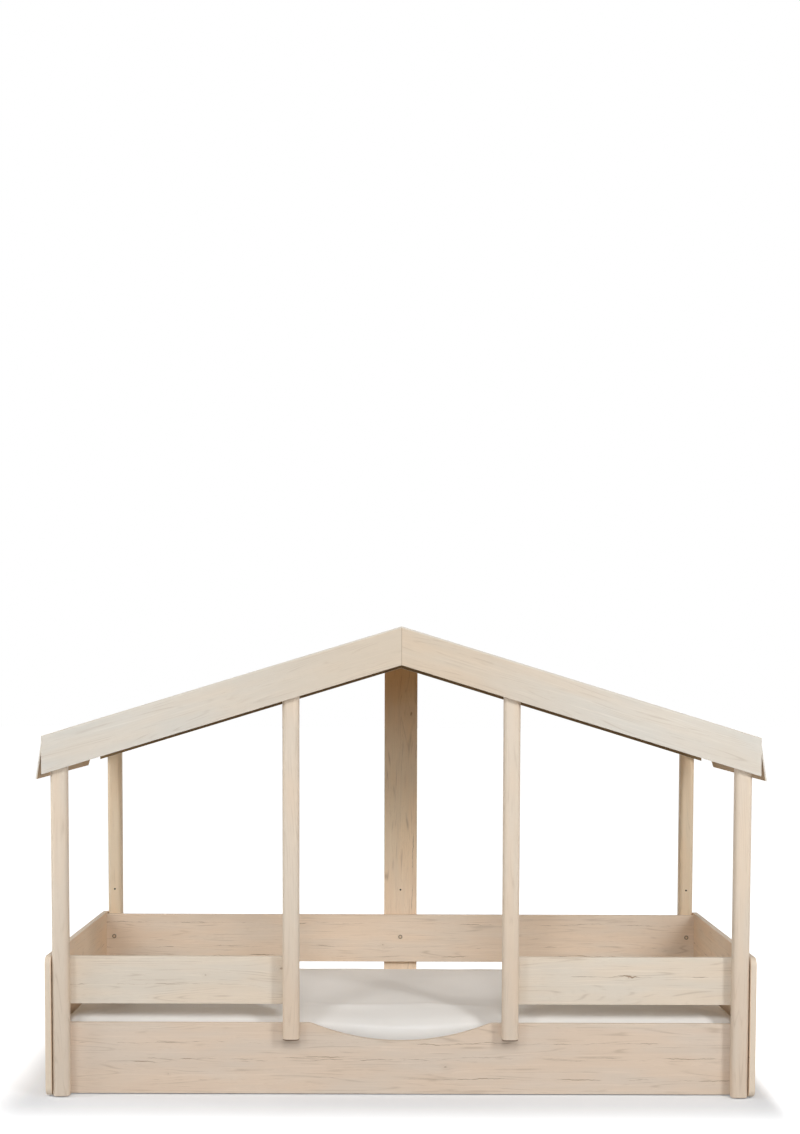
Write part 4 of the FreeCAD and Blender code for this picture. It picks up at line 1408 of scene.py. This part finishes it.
# ---------------------------------------------------------------- fittings
class BedFittingSettings(bpy.types.PropertyGroup):
    """Sizes and colours of screws, bolts, caps, glides and staples."""

    zinc: colour_property("Zinc", "Plated steel", (0.60, 0.59, 0.57, 1.0))
    bolt: colour_property("Bolt", "Bolt heads round the plugs", (0.30, 0.26, 0.21, 1.0))
    plug: colour_property("Plug", "Plugs and caps in the colour of the wood",
                          (0.68, 0.53, 0.39, 1.0))
    black: colour_property("Black plastic", "Glides and feet", (0.035, 0.034, 0.033, 1.0))
    webbing: colour_property("Webbing", "Straps over the slats", (0.74, 0.71, 0.64, 1.0))
    screw_head: length_property("Screw head", "Radius of a wood screw's head", 0.004)
    screw_height: length_property("Screw head height", "Height of a wood screw's head", 0.0024)
    screw_shank: length_property("Screw shank", "Radius of a wood screw's shank", 0.002)
    recess: length_property("Recess", "Width of the cross in a screw's head", 0.0011)
    cap_radius: length_property("Cap radius", "Radius of a cap over a panel screw", 0.0065)
    cap_height: length_property("Cap height", "Height of a cap over a panel screw", 0.0014)
    glide_radius: length_property("Glide radius", "Radius of a floor glide", 0.008)
    glide_height: length_property("Glide height", "Height of a floor glide", 0.003)
    staple_width: length_property("Staple width", "Length of a staple's crown", 0.012)
    staple_wire: length_property("Staple wire", "Thickness of a staple's wire", 0.0007)


PAN_HEAD_NODES = ("ledger_screws", "bracket_screws", "fascia_screws")

# Flat sides of each round fitting
HEAD_SIDES = 24
SHANK_SIDES = 16
DISC_SIDES = 32


def pan_head(tree, head, height, _):
    """The layers of a domed head on a shank."""
    return (tree.cylinder(head, height * 0.55, height * -0.725, HEAD_SIDES),
            tree.cone(head, head * 0.86, height * 0.28, height * -0.47, HEAD_SIDES),
            tree.cone(head * 0.86, head * 0.5, height * 0.21, height * -0.21, HEAD_SIDES))


def flat_head(tree, head, height, shank):
    """The layers of a countersunk head that tapers down to its shank."""
    return (tree.cylinder(head * 0.985, height * 0.1, height * -0.05, HEAD_SIDES),
            tree.cone(shank, head, height * 0.93, height * -1.0, HEAD_SIDES))


def screw_tree(name, head_layers, material):
    """A wood screw with a cross recess, each turned its own way. Its top is at the origin."""
    tree = Geometry(name)
    head, height, shank, length, recess = tree.sizes("Head Radius", "Head Height", "Shank Radius",
                                                     "Length", "Recess Width")
    stem = tree.cylinder(shank, length - height * 0.9, (length + height * 0.9) * -0.5,
                         SHANK_SIDES)
    body = tree.boolean("UNION", *head_layers(tree, head, height, shank), stem)
    bar = tree.block(head * 1.15, recess, height * 1.1, 0.0)
    cross = tree.block(recess, head * 1.15, height * 1.1, 0.0)
    tree.place_and_finish(tree.boolean("DIFFERENCE", body, bar, cross), material, math.pi)
    return tree


def cap_tree(material):
    """A round cap with two soft shoulders. Its back face is at the origin's depth."""
    tree = Geometry("screw_cap")
    radius, height = tree.sizes("Radius", "Height")
    rim = tree.cylinder(radius, height * 0.4, height * 0.2, DISC_SIDES)
    shoulder = tree.cone(radius, radius * 0.92, height * 0.35, height * 0.39, DISC_SIDES)
    crown = tree.cone(radius * 0.92, radius * 0.6, height * 0.25, height * 0.73, DISC_SIDES)
    tree.place_and_finish(tree.boolean("UNION", rim, shoulder, crown), material)
    return tree


def glide_tree(material):
    """A nail-on glide with a chamfered foot and a groove round it."""
    tree = Geometry("glide")
    radius, height = tree.sizes("Radius", "Height")
    plate = tree.cylinder(radius, height * 0.32, height * 0.16, DISC_SIDES)
    neck = tree.cylinder(radius * 0.9, height * 0.16, height * 0.38, DISC_SIDES)
    foot = tree.cylinder(radius, height * 0.32, height * 0.6, DISC_SIDES)
    chamfer = tree.cone(radius, radius * 0.88, height * 0.25, height * 0.75, DISC_SIDES)
    tree.place_and_finish(tree.boolean("UNION", plate, neck, foot, chamfer), material)
    return tree


def staple_tree(material):
    """A wire staple: a crown with two short legs."""
    tree = Geometry("staple")
    width, wire = tree.sizes("Width", "Wire")
    crown = tree.block(width, wire, wire, 0.0)
    legs = []
    for side in (-0.5, 0.5):
        leg = tree.block(wire, wire, wire * 4.0, 0.0)
        legs.append(tree.move(leg, wire * -1.6, (width - wire) * side))
    tree.place_and_finish(tree.boolean("UNION", crown, *legs), material)
    return tree


class BED_OT_screws(bpy.types.Operator):
    """Set a real screw with a cross recess in place of each plain one"""

    bl_idname = "bed.screws"
    bl_label = "Wood screws"

    def execute(self, context):
        settings = context.scene.bed_fittings
        material = metal_finish("screw_zinc", settings.zinc, 0.34)
        trees = {node: screw_tree("pan_screw", pan_head, material) for node in PAN_HEAD_NODES}
        trees["roof_screws"] = screw_tree("flat_screw", flat_head, material)
        for node, tree in trees.items():
            places = turned_parts(node, long_axis=True)
            sizes = {"Head Radius": settings.screw_head, "Head Height": settings.screw_height,
                     "Shank Radius": settings.screw_shank, "Length": places[0][2],
                     "Recess Width": settings.recess}
            piece = grow(node + "_cross_head", point_mesh(node + "_points", places), tree, sizes)
            place_piece(piece, "bed_frame", "zinc_steel", node)
        return {"FINISHED"}


class BED_OT_caps(bpy.types.Operator):
    """Shape the caps over the panel screws and the glides under the bed"""

    bl_idname = "bed.caps"
    bl_label = "Caps and glides"

    def execute(self, context):
        settings = context.scene.bed_fittings
        plastic = plastic_finish("cap_plastic", settings.plug, 0.5)
        board_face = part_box("end_panel_right")[1].x
        places = []
        for seat, _, _ in turned_parts("panel_screw_caps", long_axis=False):
            side = math.copysign(1.0, seat[0])
            seat[0] = side * board_face
            places.append((seat, np.array([side, 0.0, 0.0])))
        caps = grow("panel_caps", point_mesh("cap_points", places), cap_tree(plastic),
                    {"Radius": settings.cap_radius, "Height": settings.cap_height})
        place_piece(caps, "bed_frame", "wood_tone_plastic", "panel_screw_caps")

        black = plastic_finish("glide_plastic", settings.black, 0.45)
        places = []
        for points in solids_of("floor_glides"):
            seat = middle_of(points)
            seat[2] = points.max(0)[2]
            places.append((seat, np.array([0.0, 0.0, -1.0])))
        glides = grow("nail_on_glides", point_mesh("glide_points", places), glide_tree(black),
                      {"Radius": settings.glide_radius, "Height": settings.glide_height})
        place_piece(glides, "bed_frame", "black_plastic", "floor_glides")
        dress(["beam_feet"], black)
        return {"FINISHED"}


class BED_OT_bolts(bpy.types.Operator):
    """Finish the bolts, inserts, panel screws, plates and plugs"""

    bl_idname = "bed.bolts"
    bl_label = "Bolts and plates"

    def execute(self, context):
        settings = context.scene.bed_fittings
        dress(["post_inserts", "panel_screws", "ridge_plate", "beam_brackets"],
              metal_finish("plate_zinc", settings.zinc, 0.38))
        dress(["post_bolts"], metal_finish("bolt_steel", settings.bolt, 0.45))
        dress(["bolt_plugs"], plastic_finish("plug_plastic", settings.plug, 0.5))
        wood_finish("rail_dowels", "along_x", tones_of(wood().softwood), 81.0, cut_ends=True)
        return {"FINISHED"}


# Staples sit on the middle of the strap, at these shares of each slat's width
STRAP_HALF_WIDTH = 0.0125
STAPLE_SHARES = (0.3, 0.7)


class BED_OT_straps(bpy.types.Operator):
    """Finish the straps over the slats and staple them down"""

    bl_idname = "bed.straps"
    bl_label = "Straps and staples"

    def execute(self, context):
        settings = context.scene.bed_fittings
        dress(["slat_straps"], webbing_finish("strap_webbing", settings.webbing))
        strap_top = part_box("slat_straps")[1]
        strap_y = strap_top.y - STRAP_HALF_WIDTH
        places = []
        for slat in SLATS:
            low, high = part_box(slat)
            for side, share in itertools.product((-1, 1), STAPLE_SHARES):
                seat = np.array([low.x + (high.x - low.x) * share, side * strap_y,
                                 strap_top.z + settings.staple_wire * 0.3])
                places.append((seat, np.array([0.0, 0.0, 1.0])))
        steel = metal_finish("staple_zinc", settings.zinc, 0.3)
        staples = grow("strap_staples", point_mesh("staple_points", places), staple_tree(steel),
                       {"Width": settings.staple_width, "Wire": settings.staple_wire})
        place_piece(staples, "slat_base", "zinc_steel")
        return {"FINISHED"}


class BED_PT_panel(bpy.types.Panel):
    """Lists the steps that finish the bed"""

    bl_idname = "BED_PT_panel"
    bl_label = "House frame bed"
    bl_space_type = "VIEW_3D"
    bl_region_type = "UI"
    bl_category = "Bed"

    def draw(self, context):
        for step in STEPS:
            self.layout.operator(step.bl_idname)


SETTINGS = {"bed_wood": BedWoodSettings, "bed_studio": BedStudioSettings,
            "bed_mattress": BedMattressSettings, "bed_fittings": BedFittingSettings}
STEPS = (BED_OT_stage, BED_OT_boards, BED_OT_posts, BED_OT_roof, BED_OT_slats,
         BED_OT_mattress, BED_OT_hem, BED_OT_screws, BED_OT_caps, BED_OT_bolts,
         BED_OT_straps)


def register():
    for group in SETTINGS.values():
        bpy.utils.register_class(group)
    for name, group in SETTINGS.items():
        setattr(bpy.types.Scene, name, bpy.props.PointerProperty(type=group))
    for step in STEPS:
        bpy.utils.register_class(step)
    bpy.utils.register_class(BED_PT_panel)


def unregister():
    bpy.utils.unregister_class(BED_PT_panel)
    for step in reversed(STEPS):
        bpy.utils.unregister_class(step)
    for name, group in SETTINGS.items():
        delattr(bpy.types.Scene, name)
        bpy.utils.unregister_class(group)


def main():
    register()
    for step in STEPS:
        area, action = step.bl_idname.split(".")
        getattr(getattr(bpy.ops, area), action)()


if __name__ == "__main__":
    main()
